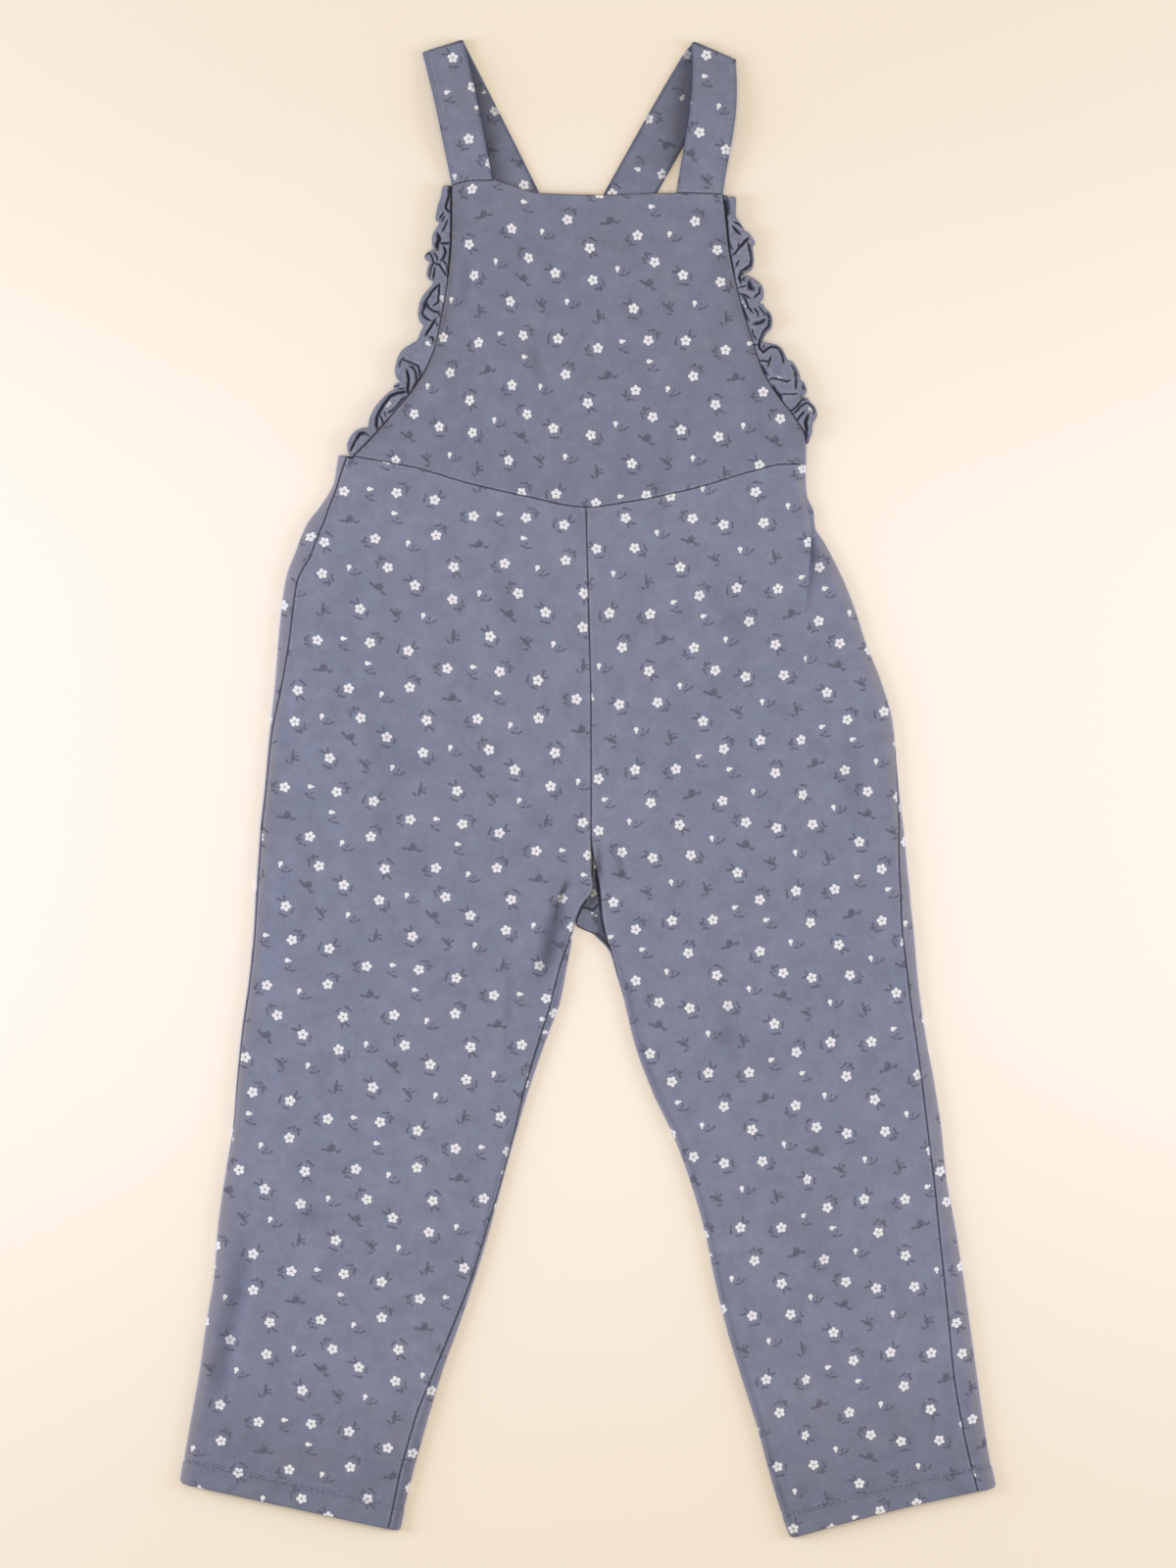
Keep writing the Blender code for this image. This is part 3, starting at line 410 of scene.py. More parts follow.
def cloth_material(
    name, printed=True, reverse=False, mirrored=False, shade_tone=1.0,
    line_share=0.70, rub_and_highlight=(0.26, 0.02), buds=(), painted_shadows=(),
):
    """Printed jersey, or its reverse side.

    The tone darkens the whole piece as painted shade. The rub says how unevenly and how evenly a seam is
    worn, and on the ruffles how strong the painted highlight beside each fold's valley is. buds are white
    spots (x, y, radius), and the dark strokes (x, y, x, y, half width, share) are painted shadows, both at
    fixed places in mm.
    """
    material, n, shader = new_material(name)
    solid = n.add("ShaderNodeTexCoord").outputs["Object"]
    uv = n.add("ShaderNodeUVMap", uv_map="Cloth").outputs[0]
    place = n.vector("MULTIPLY", uv, (-1000.0 if mirrored else 1000.0, -1000.0, 0.0))
    across, down, _ = n.xyz(place)
    near_a, near_b, near_c = n.xyz(n.attribute("sewn", "Vector"))
    seam = n.math("MINIMUM", n.math("MINIMUM", near_a, near_b), near_c)

    def shade(colour):
        # painted shade: the tone darkens the whole piece
        return tuple(part * shade_tone for part in colour) + (1.0,)

    # washed colour
    patches = n.fade(n.noise(solid, 52.0, 4.0, 0.7), 0.66, 0.36)
    base = REVERSE_BLUE if reverse else BLUE
    warm = REVERSE_BLUE if reverse else BLUE_WARM
    colour = n.mix(patches, shade(base), shade(warm), "RGBA")
    streaks = n.noise(n.vector("MULTIPLY", place, (1.0, 0.12, 1.0)), 1.1, 3.0, 0.7)
    grain = n.noise(place, 2.4, 2.0, 0.6)
    slubs = n.noise(n.vector("MULTIPLY", place, (0.10, 1.0, 1.0)), 0.9, 3.0, 0.7)
    uneven_dye = n.noise(solid, 95.0, 3.0, 0.65)
    light = n.math("MULTIPLY_ADD", streaks, 0.18, n.math("MULTIPLY_ADD", grain, 0.16, 0.49))
    light = n.math("MULTIPLY_ADD", slubs, 0.16, n.math("MULTIPLY_ADD", uneven_dye, 0.50, light))
    hem = n.attribute("hem")
    light = n.math("MULTIPLY", light, n.math("MULTIPLY_ADD", n.fade(hem, *HEM_SHADE_RUN), -HEM_SHADE, 1.0))
    tint = n.add("ShaderNodeMix", data_type="RGBA", blend_type="MULTIPLY")
    tint.inputs[0].default_value = 1.0
    n.put(tint.inputs[6], colour)
    n.put(tint.inputs[7], light)
    colour = tint.outputs[2]
    # deep is painted shade, and below zero painted light along a fold's rim
    deep = n.attribute("deep")
    colour = n.mix(n.math("MULTIPLY", deep, -1.0), colour, (*FOLD_LIT_COLOUR, 1.0), "RGBA")
    # print
    if printed:
        group = n.add("ShaderNodeGroup", node_tree=PRINT_GROUP)
        wobble = n.math("MULTIPLY", n.math("SUBTRACT", grain, 0.5), 0.35)
        n.put(group.inputs[0], n.vector("ADD", place, wobble))
        broken = n.fade(n.noise(place, 1.1, 2.0, 0.6), 0.48, 0.30)
        cover = n.math("MULTIPLY_ADD", broken, DARK_UNEVEN, DARK_COVER)
        dark = n.math("MULTIPLY", group.outputs["Dark"], cover)
        colour = n.mix(dark, colour, shade(PRINT_DARK), "RGBA")
        white = n.math("MULTIPLY", group.outputs["White"], WHITE_COVER)
        colour = n.mix(white, colour, (*PRINT_WHITE, 1.0), "RGBA")
    bud_white = BUD_ON_REVERSE if reverse else PRINT_WHITE
    for x, y, radius in buds:
        off = n.vector("MULTIPLY", n.vector("SUBTRACT", solid, (x * MM, y * MM, 0.0)), (1, 1, 0))
        bud = n.fade(n.vector("LENGTH", off), (radius - BUD_EDGE) * MM, (radius + BUD_EDGE) * MM)
        colour = n.mix(n.math("MULTIPLY", bud, BUD_COVER), colour, (*bud_white, 1.0), "RGBA")
    # the rubbed ridge beside a seam, the seam's dark line and the hem's puckers; on the ruffles the ridge is
    # also a painted highlight and the line painted shade in a fold's valley
    worn = n.fade(n.noise(place, 0.55, 3.0, 0.7), 0.60, 0.42)
    start, full, end = RUB_AND_HIGHLIGHT_RUN
    ridge = n.math("MULTIPLY", n.fade(seam, full, end), n.fade(seam, full, start))
    # wear beside a seam, and on the ruffles a painted highlight beside each valley
    rubbed_and_lit = n.math("MULTIPLY", ridge, n.math("MULTIPLY_ADD", worn, *rub_and_highlight))
    colour = n.mix(rubbed_and_lit, colour, (*WORN_AND_HIGHLIGHT, 1.0), "RGBA")
    line = n.math("MULTIPLY", n.fade(seam, *LINE_RUN), n.math("MULTIPLY_ADD", worn, -0.25, line_share))
    off_hem = n.math("ABSOLUTE", n.math("SUBTRACT", hem, HEM_DEPTH - 0.6))
    puckers = n.fade(n.noise(place, 0.62, 2.0, 0.6), 0.60, 0.42)
    hem_line = n.math("MULTIPLY", n.fade(off_hem, *HEM_LINE_RUN), n.math("MULTIPLY_ADD", puckers, 0.34, 0.05))
    colour = n.mix(n.math("MAXIMUM", line, hem_line), colour, (*SEAM_AND_SHADE_DARK, 1.0), "RGBA")
    # painted shade and painted shadows: the bottom of a crease gets less light than its sides, and the dark
    # strokes lie where the cloth is in shadow
    for x0, y0, x1, y1, half_width, share in painted_shadows:
        start, run = Vector((x0, y0, 0)) * MM, Vector((x1 - x0, y1 - y0, 0)) * MM
        off = n.off_stroke(n.vector("MULTIPLY", n.vector("SUBTRACT", solid, start), (1, 1, 0)), run)
        shadow_stroke = n.fade(off, 0.55 * half_width * MM, 1.45 * half_width * MM)
        deep = n.math("MAXIMUM", deep, n.math("MULTIPLY", shadow_stroke, share))
    colour = n.mix(deep, colour, (*SEAM_AND_SHADE_DARK, 1.0), "RGBA")
    n.put(shader.inputs["Base Color"], colour)
    sheen = {"Sheen Weight": 0.10, "Sheen Roughness": 0.45, "Sheen Tint": (0.80, 0.84, 1.0, 1.0)}
    set_values(shader, {"Roughness": 0.92, "Specular IOR Level": 0.25, **sheen})
    # wales, stitches pulling at the seams
    wales = n.math("SINE", n.math("MULTIPLY", across, 2 * math.pi / WALE))
    loops = n.math("SINE", n.math("MULTIPLY", down, 2 * math.pi / (WALE * 0.75)))
    knit = n.math("MULTIPLY", wales, n.math("MULTIPLY_ADD", loops, 0.35, 0.65))
    hem_pull = n.math("MULTIPLY", n.fade(off_hem, *PULL_RUN), HEM_PULL)
    pull = n.math("MAXIMUM", n.fade(seam, *PULL_RUN), hem_pull)
    pull = n.math("MULTIPLY", n.noise(place, 0.36, 2.0, 0.5), pull)
    height = n.math("MULTIPLY_ADD", knit, KNIT_HEIGHT, n.math("MULTIPLY", pull, PULL_HEIGHT))
    height = n.math("MULTIPLY_ADD", grain, GRAIN_HEIGHT, height)
    bump = n.add("ShaderNodeBump")
    set_values(bump, {"Strength": 0.6, "Distance": MM})
    n.put(bump.inputs["Height"], height)
    n.put(shader.inputs["Normal"], bump.outputs[0])
    return material


# Buds of the print that show on the ruffles and inside the crotch. Columns: x, y, radius.
RUFFLE_BUDS = (
    (-82, 275.4, 1.25), (-81.2, 273.6, 0.75), (-90, 249.8, 1.20), (-88.9, 248.7, 0.70), (-111.2, 216, 0.90),
    (-112.4, 214.6, 0.75), (-86.6, 300.9, 0.50), (86.6, 272.4, 0.80), (87.8, 270.4, 0.95),
    (91, 308.9, 0.55), (106.6, 230.7, 0.60), (108, 230.2, 0.50), (124.4, 213.1, 1.00), (125.9, 212, 0.80),
    (92.6, 258.2, 0.55), (92.2, 249.2, 0.55), (114.3, 209.9, 0.60),
)
CROTCH_BUDS = (
    (3.2, -57.2, 1.00), (2.6, -59.6, 1.00), (4.4, -58.7, 0.80), (2.4, -69.7, 0.60), (4.5, -71, 0.70),
    (4.3, -43.6, 0.90),
)
# Painted shadows where the seams meet at the crotch, as dark strokes. Columns: x, y, x, y, half width, share.
CROTCH_SHADOWS = (
    (4.6, -38, 5, -45.5, 0.60, 0.70),
    (5.2, -46, 5.5, -52, 1.70, 0.95),
    (5.5, -52, 6.3, -60, 1.30, 0.95),
    (6.3, -60, 7, -67, 1.00, 0.90),
    (7, -67, 7.9, -74.2, 0.90, 0.80),
    (7.9, -74.2, 9.4, -80.8, 1.20, 0.85),
    (2.2, -54.5, -3.8, -66, 0.60, 0.75),
    (-3.8, -66, -0.5, -66.8, 0.85, 0.85),
    (-0.5, -66.8, 2.8, -68.2, 0.85, 0.85),
    (2.8, -68.2, 5.5, -64.9, 0.85, 0.80),
    (0.6, -63, 3.6, -58, 3.20, 0.36),
    (-4.4, -67.1, -6.6, -74.8, 0.50, 0.80),
    (3.4, -72.4, 5, -75.6, 0.90, 0.50),
    (6, -82.5, 10.5, -85.3, 2.60, 0.45),
    (9.4, -77.6, 3.3, -83, 0.55, 0.60),
    (5.2, -71, 7.2, -79, 1.80, 0.40),
)
CLOTH = {
    "legs": cloth_material("Jersey_legs"),
    "back": cloth_material("Jersey_back"),
    # painted shade: the bib, the straps and the ruffles are the same cloth, painted a little darker
    "bib": cloth_material("Jersey_bib", shade_tone=0.928),
    "straps": cloth_material("Jersey_straps", shade_tone=0.94),
    "straps_inside": cloth_material("Jersey_straps_inside", shade_tone=0.94),
    # on the ruffles the stronger line and rub are painted shade in the fold valleys and painted highlight on
    # their ridges
    "ruffles": cloth_material(
        "Jersey_ruffles", printed=False, shade_tone=0.97, line_share=0.90, rub_and_highlight=(0.36, 0.22), buds=RUFFLE_BUDS
    ),
    "ruffles_inside": cloth_material("Jersey_ruffles_inside", mirrored=True, shade_tone=0.93),
    "reverse": cloth_material(
        "Jersey_reverse", printed=False, reverse=True, buds=CROTCH_BUDS, painted_shadows=CROTCH_SHADOWS
    ),
}
print("cloth materials:", len(CLOTH))

# %% [markdown]
# ## Smooth lines through short tables
#
# A pattern maker marks a curve by a few points and joins them with a flexible ruler. This class is that
# ruler. It is monotone: between two marks the line never swings past them, so a side seam gets no bumps.


# %% Reading a table
class Line:
    """A smooth line through marks, read at any place along them."""

    def __init__(self, keys, values):
        """Finds how the line leans at each mark: not at all where it turns, else between its neighbours."""
        rows = sorted(zip(keys, values))
        self.keys = [key for key, _ in rows]
        self.values = [value for _, value in rows]
        pairs = list(zip(rows, rows[1:]))
        slopes = [(after[1] - before[1]) / (after[0] - before[0]) for before, after in pairs]
        self.leans = [slopes[0]]
        for before, after in zip(slopes, slopes[1:]):
            turns = before * after <= 0
            self.leans.append(0.0 if turns else 2 * before * after / (before + after))
        self.leans.append(slopes[-1])

    def at(self, key):
        if key <= self.keys[0]:
            return self.values[0]
        if key >= self.keys[-1]:
            return self.values[-1]
        k = bisect_right(self.keys, key) - 1
        run = self.keys[k + 1] - self.keys[k]
        s = (key - self.keys[k]) / run
        start = self.values[k] * (1 + 2 * s) * (1 - s) ** 2 + self.leans[k] * run * s * (1 - s) ** 2
        end = self.values[k + 1] * s * s * (3 - 2 * s) + self.leans[k + 1] * run * s * s * (s - 1)
        return start + end


def table_line(table, key, value):
    """The line through two columns of a table."""
    return Line([row[key] for row in table], [row[value] for row in table])


def clamp(value, low=0.0, high=1.0):
    return min(max(value, low), high)


def smooth(share):
    """0 up to 0, 1 from 1 on, and soft between them."""
    share = clamp(share)
    return share * share * (3 - 2 * share)


def bell(off, width):
    """1 in the middle, and falling softly on both sides."""
    return math.exp(-((off / width) ** 2))


# %% [markdown]
# ## How the garment lies
#
# These are the sizes of the solids in the frame, in millimetres: the radius of a folded edge, how high the
# front cloth lies inside it, and the gap at a seam. The sections of the legs run from the waist seam down
# to the hem. "out" and "in" are a section's ends seen from above, and "side" and "inseam" say how far the
# seams lie from those ends (below zero they lie under the fold). Where the inseam is 0 the section ends at
# the centre seam, and its inner end isn't folded.

# %% Sizes of the laid cloth
CLOTH_WALL, DOUBLED = 1.1, 2.0  # thickness of the shells of cloth, and of a strap's two layers
SEAM = 0.14  # gap between two panels
FOLD = 2.2  # radius of a folded edge
BODY, PUFF_RUN = 5.6, 26.0  # height of the front cloth, and how far from a fold it reaches that
CENTRE_DIP, CENTRE_DIP_RUN = 0.5, 5.0  # the dip along the centre seam
QUARTER = math.pi / 2

LEG_COLUMNS = ("out_x", "out_y", "in_x", "in_y", "side", "inseam")
RIGHT_LEG = (
    (-140, 187, -1.2, 158, 4.8, 0),
    (-142.4, 172, -0.7, 141, 2.4, 0),
    (-150, 158.5, -0.3, 126, 4.8, 0),
    (-157.3, 149, 0, 114.7, 8.4, 0),
    (-163.9, 133, 0.4, 97.1, 8.8, 0),
    (-169.4, 117.7, 0.9, 80.6, 6.6, 0),
    (-172.9, 91, 1.6, 53, 6.4, 0),
    (-175.2, 62, 1.7, 23.4, 4.2, 0),
    (-178.9, 28, 1.7, -11.4, 1.2, 0),
    (-181.8, -3, 1.8, -43, 1, 0),
    (-183.4, -17, 3, -55.5, 1, 0),
    (-184.3, -28, -3.9, -66, 1, 0),
    (-184.9, -37, -7.7, -76, 1, 0),
    (-185.6, -47, -9.3, -86, 1, 1.4),
    (-186.6, -62, -11.9, -99.5, 1, 3.6),
    (-187.6, -80, -15.3, -117.6, 0.9, 4.8),
    (-190.3, -107, -24.5, -143.1, 0.9, 3.4),
    (-194.2, -135, -33.7, -170, 0.8, 2.2),
    (-196.9, -162, -41.3, -195.9, 0.6, 0.9),
    (-199.1, -190, -48.7, -222.8, 0.3, 0.8),
    (-203.5, -217, -55.8, -249.2, 0, 1.6),
    (-207.4, -245, -64.1, -276.2, -0.2, 1.7),
    (-209.5, -272, -72.8, -301.8, -0.4, 3),
    (-214, -300, -82.4, -328.7, -0.4, 4.4),
    (-217.8, -327, -90.2, -354.8, -0.4, 6.9),
    (-222.8, -355, -97.9, -382.2, -0.4, 7),
    (-226.3, -375, -102.8, -401.9, -0.4, 6.2),
    (-228.8, -389.4, -105.6, -416.3, -0.4, 6.6),
)
LEFT_LEG = (
    (122.1, 182, -1.2, 158, -0.6, 0),
    (122.1, 172, -0.9, 147.9, -0.6, 0),
    (123, 163.5, -0.7, 139.2, -0.6, 0),
    (126.4, 156, -0.5, 131, -0.6, 0),
    (127.2, 147, -0.2, 121.8, -0.6, 0),
    (132.5, 138, 0, 111.6, -0.6, 0),
    (138.4, 127, 0.4, 99.3, -0.6, 0),
    (144.5, 114, 0.8, 85, -0.6, 0),
    (150.5, 98, 1.2, 67.6, -0.6, 0),
    (156.2, 80.3, 1.7, 48.6, -0.5, 0),
    (164.2, 60.5, 1.7, 26.9, -0.3, 0),
    (171, 36, 1.7, 0.6, -0.02, 0),
    (173.4, 10, 1.8, -26.5, 0.35, 0),
    (175.1, -9, 4.9, -45, 1.2, 0),
    (176.7, -21, 6.8, -57.5, 2.4, 0),
    (178.1, -35, 8, -71.8, 3.9, 0),
    (179.2, -47, 10.4, -83.6, 4.6, 0),
    (180.1, -55, 12.2, -91.6, 5, 1),
    (181, -66, 15.5, -102.2, 5.6, 0.5),
    (182.6, -80, 19.6, -115.9, 6.4, 0.05),
    (184.9, -107, 26.1, -142.4, 5.5, -0.3),
    (188.7, -135, 36, -169.4, 5.5, -0.8),
    (193.6, -162, 48.3, -195.2, 6.7, -1),
    (198, -190, 58.2, -222.3, 7.7, -1),
    (200.7, -217, 65.7, -248.5, 7, -1),
    (205.7, -245, 71.5, -276.7, 9.2, -1),
    (210.1, -272, 78.1, -303.5, 10.7, -1),
    (214, -300, 86.4, -330.8, 11.8, -1),
    (217.8, -327, 94.7, -357, 12.9, -1),
    (221.7, -355, 102.1, -384.5, 12.1, -1),
    (225, -375, 107.9, -404, 11, -1),
    (228.8, -392, 113.9, -420.4, 10.5, -1),
)
# Where a back panel's inner end differs. Columns: row, in_x, in_y.
BACK_WAIST = (RIGHT_LEG[0][:2], (-1.2, 180.0), LEFT_LEG[0][:2])
RIGHT_BACK_INNER = (
    (0, *BACK_WAIST[1]), (9, 1.8, -43), (10, 1, -54), (11, -2, -64.5), (12, -7.6, -75.5),
)
LEFT_BACK_INNER = (
    (0, *BACK_WAIST[1]), (13, 2, -45), (14, -1, -61), (15, -7.2, -75.4), (16, 3.4, -82),
)
WAIST_SEAM = (  # x, y
    (-131.5, 186.5), (-96.5, 180), (-67.9, 171.6), (-36.9, 164.5), (-1.2, 158), (27.9, 161.8),
    (58.9, 168.3), (96.7, 179.3), (109.7, 182), (122.1, 182),
)
WAIST_BOW_ROWS = 3  # rows of a leg's table down which the waist seam's curve dies out
UNDER_CENTRE = -0.01  # above the crotch a back panel ends just under the centre seam
WAIST_LINE = table_line(WAIST_SEAM, 0, 1)

# %% [markdown]
# ## Creases
#
# Washed jersey never lies quite flat. Its creases are soft troughs, each with a low ridge on one side, where
# the cloth has been pushed along. A cloth simulation could make some, but not the ones that this garment
# shows, so they are listed one by one. Each runs through a few points and fades at its ends. A slow, shallow
# unevenness over the whole cloth comes from smooth noise.

# %% Crease tables
# Columns: half width, depth, ridge (its share of the depth, on the right of the way), points (x, y).
FRONT_CREASES = (
    (1.7, 2.8, 0.3, ((-9, -48), (-13.8, -56.7), (-17, -64.4), (-18.6, -73.2), (-20.5, -84))),
    (4.4, 2.2, 0, ((-12, -54), (-18.2, -73.2), (-22.5, -92), (-30, -116))),
    (2.2, 2, 0, ((6.3, -26), (6, -43), (7, -58))),
    (2.6, 0.6, -0.5, ((-45, -84), (-43.5, -117), (-48, -156))),
    (6, 1.5, -0.4, ((-191, -238), (-197, -283), (-205, -322), (-211, -358))),
    (6, 0.7, 0.4, ((-168, -235), (-152, -240), (-136, -245))),
    (2.4, 1.2, -0.5, ((16, -24), (18, -42), (21, -60))),
    (7, 0.8, 0.4, ((74, -104), (77, -135), (82, -166))),
    (3.5, 0.8, 0.5, ((-34.7, 258), (-29, 238), (-23.1, 217))),
    (4, 0.7, -0.4, ((-79.5, 243), (-77, 225), (-74.5, 204))),
    (3, 0.5, 0.4, ((-69, 296), (-68.5, 276))),
    (8, 0.6, 0.3, ((60, 124), (80, 96), (101, 68))),
    (10, 0.5, 0.3, ((-120, 60), (-110, 10), (-118, -40))),
    (9, 0.5, -0.3, ((120, -220), (128, -262), (142, -300))),
    (8, 0.4, 0.3, ((150, 40), (146, 0), (150, -40))),
    (7, 0.4, 0.3, ((-60, 130), (-40, 90), (-30, 50))),
)
BACK_CREASES = (
    (4, 0.7, 0, ((12, -40), (24, -66), (34, -100))),
    (5, 0.6, 0, ((-14, -50), (-30, -78), (-44, -120))),
    (6, 0.6, 0, ((-150, -180), (-140, -214), (-146, -250))),
    (6, 0.5, 0, ((120, -160), (132, -200), (130, -236))),
    (5, 0.5, 0, ((60, 100), (72, 60), (66, 20))),
    (5, 0.5, 0, ((-70, 120), (-62, 76), (-72, 30))),
    (7, 0.5, 0, ((-180, -300), (-176, -340), (-186, -372))),
    (6, 0.4, 0, ((150, -300), (160, -336), (158, -370))),
)
# Columns: y, x, height, hidden. Outside this line the cloth lies lower, and part of it hides under the edge.
HIP_TUCK = (
    (165, 121.4, 0.6, 0),
    (154, 124, 1.3, 3),
    (146, 125.6, 1.6, 5),
    (135, 125.4, 1.6, 4.8),
    (121, 124.3, 1.3, 4.4),
    (106, 122.6, 0.6, 2.6),
    (95, 122, 0, 1.2),
)
HIP_CORNER, HIP_SHIFT, HIP_REACH = Vector((121.0, 180.0)), Vector((4.0, 2.8)), 42.0  # where it is pulled up
TUCK_X, TUCK_STEP = table_line(HIP_TUCK, 0, 1), table_line(HIP_TUCK, 0, 2)
TUCK_HIDDEN = table_line(HIP_TUCK, 0, 3)
TUCK_RISE, TUCK_RUN = 1.2, 16.0  # how far the cloth takes to rise at the tuck's edge, and to fall inside it
TUCK_SHADE, TUCK_SHADE_RUN = 0.50, 2.6  # the shadow outside the tuck's edge
CREASE_EASE = 6.0  # creases die out this far from a fold
UNEVEN, UNEVEN_SIZE = 0.40, 24.0
# painted shade: creases are darkened in the colour, more where they are deeper
DEEP_SHARE, DEEPEST = 0.24, 0.6  # how much darker a crease gets with each mm of depth, and at most
RIDGE_OFF = 1.7  # a crease's ridge lies this many half widths beside it


def crease_runs(table):
    """Each straight run of each crease, with what its depth is at both ends."""
    runs = []
    for half_width, depth, ridge, points in table:
        for k, ((x0, y0), (x1, y1)) in enumerate(zip(points, points[1:])):
            tips = (0, len(points) - 1) if len(points) > 2 else ()
            ends = [0.0 if at in tips else 1.0 for at in (k, k + 1)]
            runs.append((half_width, depth, ridge, x0, y0, x1 - x0, y1 - y0, *ends))
    return runs


def creased(runs, x, y):
    """How far the creases lift the cloth at one point; a trough is below zero."""
    lift = 0.0
    for half_width, depth, ridge, x0, y0, dx, dy, start, end in runs:
        clear = 5 * half_width
        if abs(x - x0 - dx / 2) > abs(dx) + clear or abs(y - y0 - dy / 2) > abs(dy) + clear:
            continue
        length = math.hypot(dx, dy)
        along = ((x - x0) * dx + (y - y0) * dy) / length
        beside = ((x - x0) * dy - (y - y0) * dx) / length
        past = max(-along, along - length, 0.0)
        fade = bell(past, half_width) * (start + (end - start) * smooth(clamp(along / length)))
        trough = -bell(beside, half_width)
        ridge_at = math.copysign(RIDGE_OFF * half_width, ridge)
        swell = ridge and abs(ridge) * bell(beside - ridge_at, half_width)
        lift = min(lift, depth * fade * trough) if trough * depth * fade < -0.02 else lift
        lift += 0.5 * depth * fade * swell
    return lift


FRONT_RUNS, BACK_RUNS = crease_runs(FRONT_CREASES), crease_runs(BACK_CREASES)


def uneven(x, y, seed):
    """The slow unevenness of cloth that has been washed."""
    return UNEVEN * noise.noise(Vector((x / UNEVEN_SIZE, y / UNEVEN_SIZE, seed)))


def tucked(x, y):
    """How far the tuck at the left hip lifts the cloth."""
    inside = TUCK_X.at(y) - x
    return TUCK_STEP.at(y) * smooth(inside / TUCK_RISE) * bell(max(inside, 0.0), TUCK_RUN)


def tuck_shade(x, y):
    """How dark the cloth is beside the tuck's edge."""
    outside = x - TUCK_X.at(y)
    fading = math.exp(-max(outside, 0.0) / TUCK_SHADE_RUN)
    return TUCK_SHADE * TUCK_STEP.at(y) * smooth(outside + 0.7) * fading


def deepness(runs, x, y):
    """How much light a place loses in its crease."""
    return min(max(-creased(runs, x, y), 0.0) * DEEP_SHARE, DEEPEST)


def hip_cloth(x, y):
    """Where the left hip's cloth would lie if it weren't pulled up and tucked."""
    near = bell((Vector((x, y)) - HIP_CORNER).length, HIP_REACH)
    hidden = TUCK_HIDDEN.at(y) * smooth((x - TUCK_X.at(y)) / 1.5 + 0.5)
    return x - HIP_SHIFT.x * near + hidden, y - HIP_SHIFT.y * near - 0.45 * hidden


print(f"creases: {len(FRONT_CREASES)} in front, {len(BACK_CREASES)} behind")

# %% [markdown]
# ## Where the print lies on each panel
#
# A panel is cut from printed cloth, so the print runs with its grain and is turned with it. The legs lean
# outwards and so does their print. These tables give, at a few points down a panel, the place in the repeat
# that lies there and the print's turn. Between the points the values blend.


# %% Grain of the panels
class Grain:
    """The print on a panel. Rows hold x, y, across, down, turn (degrees anticlockwise)."""

    def __init__(self, rows, across=1.0, down=1.0):
        """across and down say how much the cloth is stretched."""
        turns = [math.radians(row[4]) for row in rows]
        self.rows = [(*row[:4], math.cos(turn), math.sin(turn)) for row, turn in zip(rows, turns)]
        self.across, self.down = across, down

    def at(self, x, y):
        """The place in the print that lies at x, y."""
        rows = self.rows
        k = 0
        while k < len(rows) - 2 and y < rows[k + 1][1]:
            k += 1
        pair = rows[k : k + 2]
        found = []
        for x0, y0, u, v, cosine, sine in pair:
            dx, dy = x - x0, y - y0
            across = u + (dx * cosine + dy * sine) / self.across
            found.append((across, v + (dx * sine - dy * cosine) / self.down))
        if len(found) == 1:
            return found[0]
        share = clamp((pair[0][1] - y) / (pair[0][1] - pair[1][1]))
        return tuple(first + (second - first) * share for first, second in zip(*found))


FRONT_GRAIN = {
    "left": Grain(
        (
            (60, 120, -1, -100.6, 10.4),
            (90, 0, 9.1, 25.5, 13.2),
            (115, -120, 4.5, 150.2, 12.9),
            (140, -230, 5.5, 261.4, 12),
            (165, -360, 8.8, 396.2, 11.1),
        ),
        0.996,
        0.953,
    ),
    "right": Grain(
        (
            (-75, 120, -32.7, -136.4, -10.9),
            (-90, 0, -24.6, -14.8, -14.4),
            (-112, -120, -11.6, 111.4, -12.7),
            (-135, -230, -7.6, 223.1, -12.4),
            (-165, -360, -8.6, 360.2, -11.4),
        ),
        1.026,
        0.961,
    ),
}
# A back panel is seen from below, so its x runs the other way.
BACK_GRAIN = {
    "left": Grain(((-205.6, -212.4, 38.3, 36.2, -12.0),), 0.99, 0.957),
    "right": Grain(((160.0, 140.0, 200.7, -500.1, 12.5), (90.1, -374.2, 21.1, -0.1, 12.5)), 0.99, 0.960),
}
BIB_GRAIN = Grain(((33.9, 251.1, 0.1, 0.25, -0.7),), 0.994, 0.981)
STRAP_GRAIN = {
    "right": (Grain(((-66.0, 380.0, 68.5, 13.0, 9.0),)), Grain(((-45.0, 370.0, 70.0, 76.0, 205.0),))),
    "left": (Grain(((66.0, 380.0, 4.5, 31.0, -9.0),)), Grain(((35.0, 370.0, 61.5, 24.0, 152.0),))),
}


BIB_PULL, BIB_PULL_FROM = 0.13, -25  # share by which the bib is drawn in, and left of where
BIB_LIFT, BIB_LIFT_AT, BIB_LIFT_REACH = 3.6, -50, 17  # how far and where its cloth is pulled up


def bib_drawn_in(x, y):
    """Where the bib's cloth would lie if the ruffle's gathers didn't draw it in on the wearer's right."""
    pull = BIB_PULL * max(BIB_PULL_FROM - x, 0.0) * smooth((335 - y) / 45)
    lift = BIB_LIFT * bell(x - BIB_LIFT_AT, BIB_LIFT_REACH) * (0.3 + 0.7 * smooth((y - 195) / 60))
    return x - pull, y - lift


# %% [markdown]
# ## One wall of cloth
#
# Every piece is made alike. A grid is a sheet of cloth before it is laid: its rows run down the panel and
# its columns across. Each grid point is placed by the piece's own function, which also says where the print
# lies there and how far the sewn edges are. Solidify gives the sheet its thickness on the inside, and there
# it shows the unprinted reverse of the cloth.

# %% Wall maker
# deep carries painted shade in creases and shadows, and below zero painted light on fold rims
Spot = namedtuple("Spot", "x y z across down sewn hem relief deep", defaults=(0.0,))
FAR = 99.0  # from any sewn edge


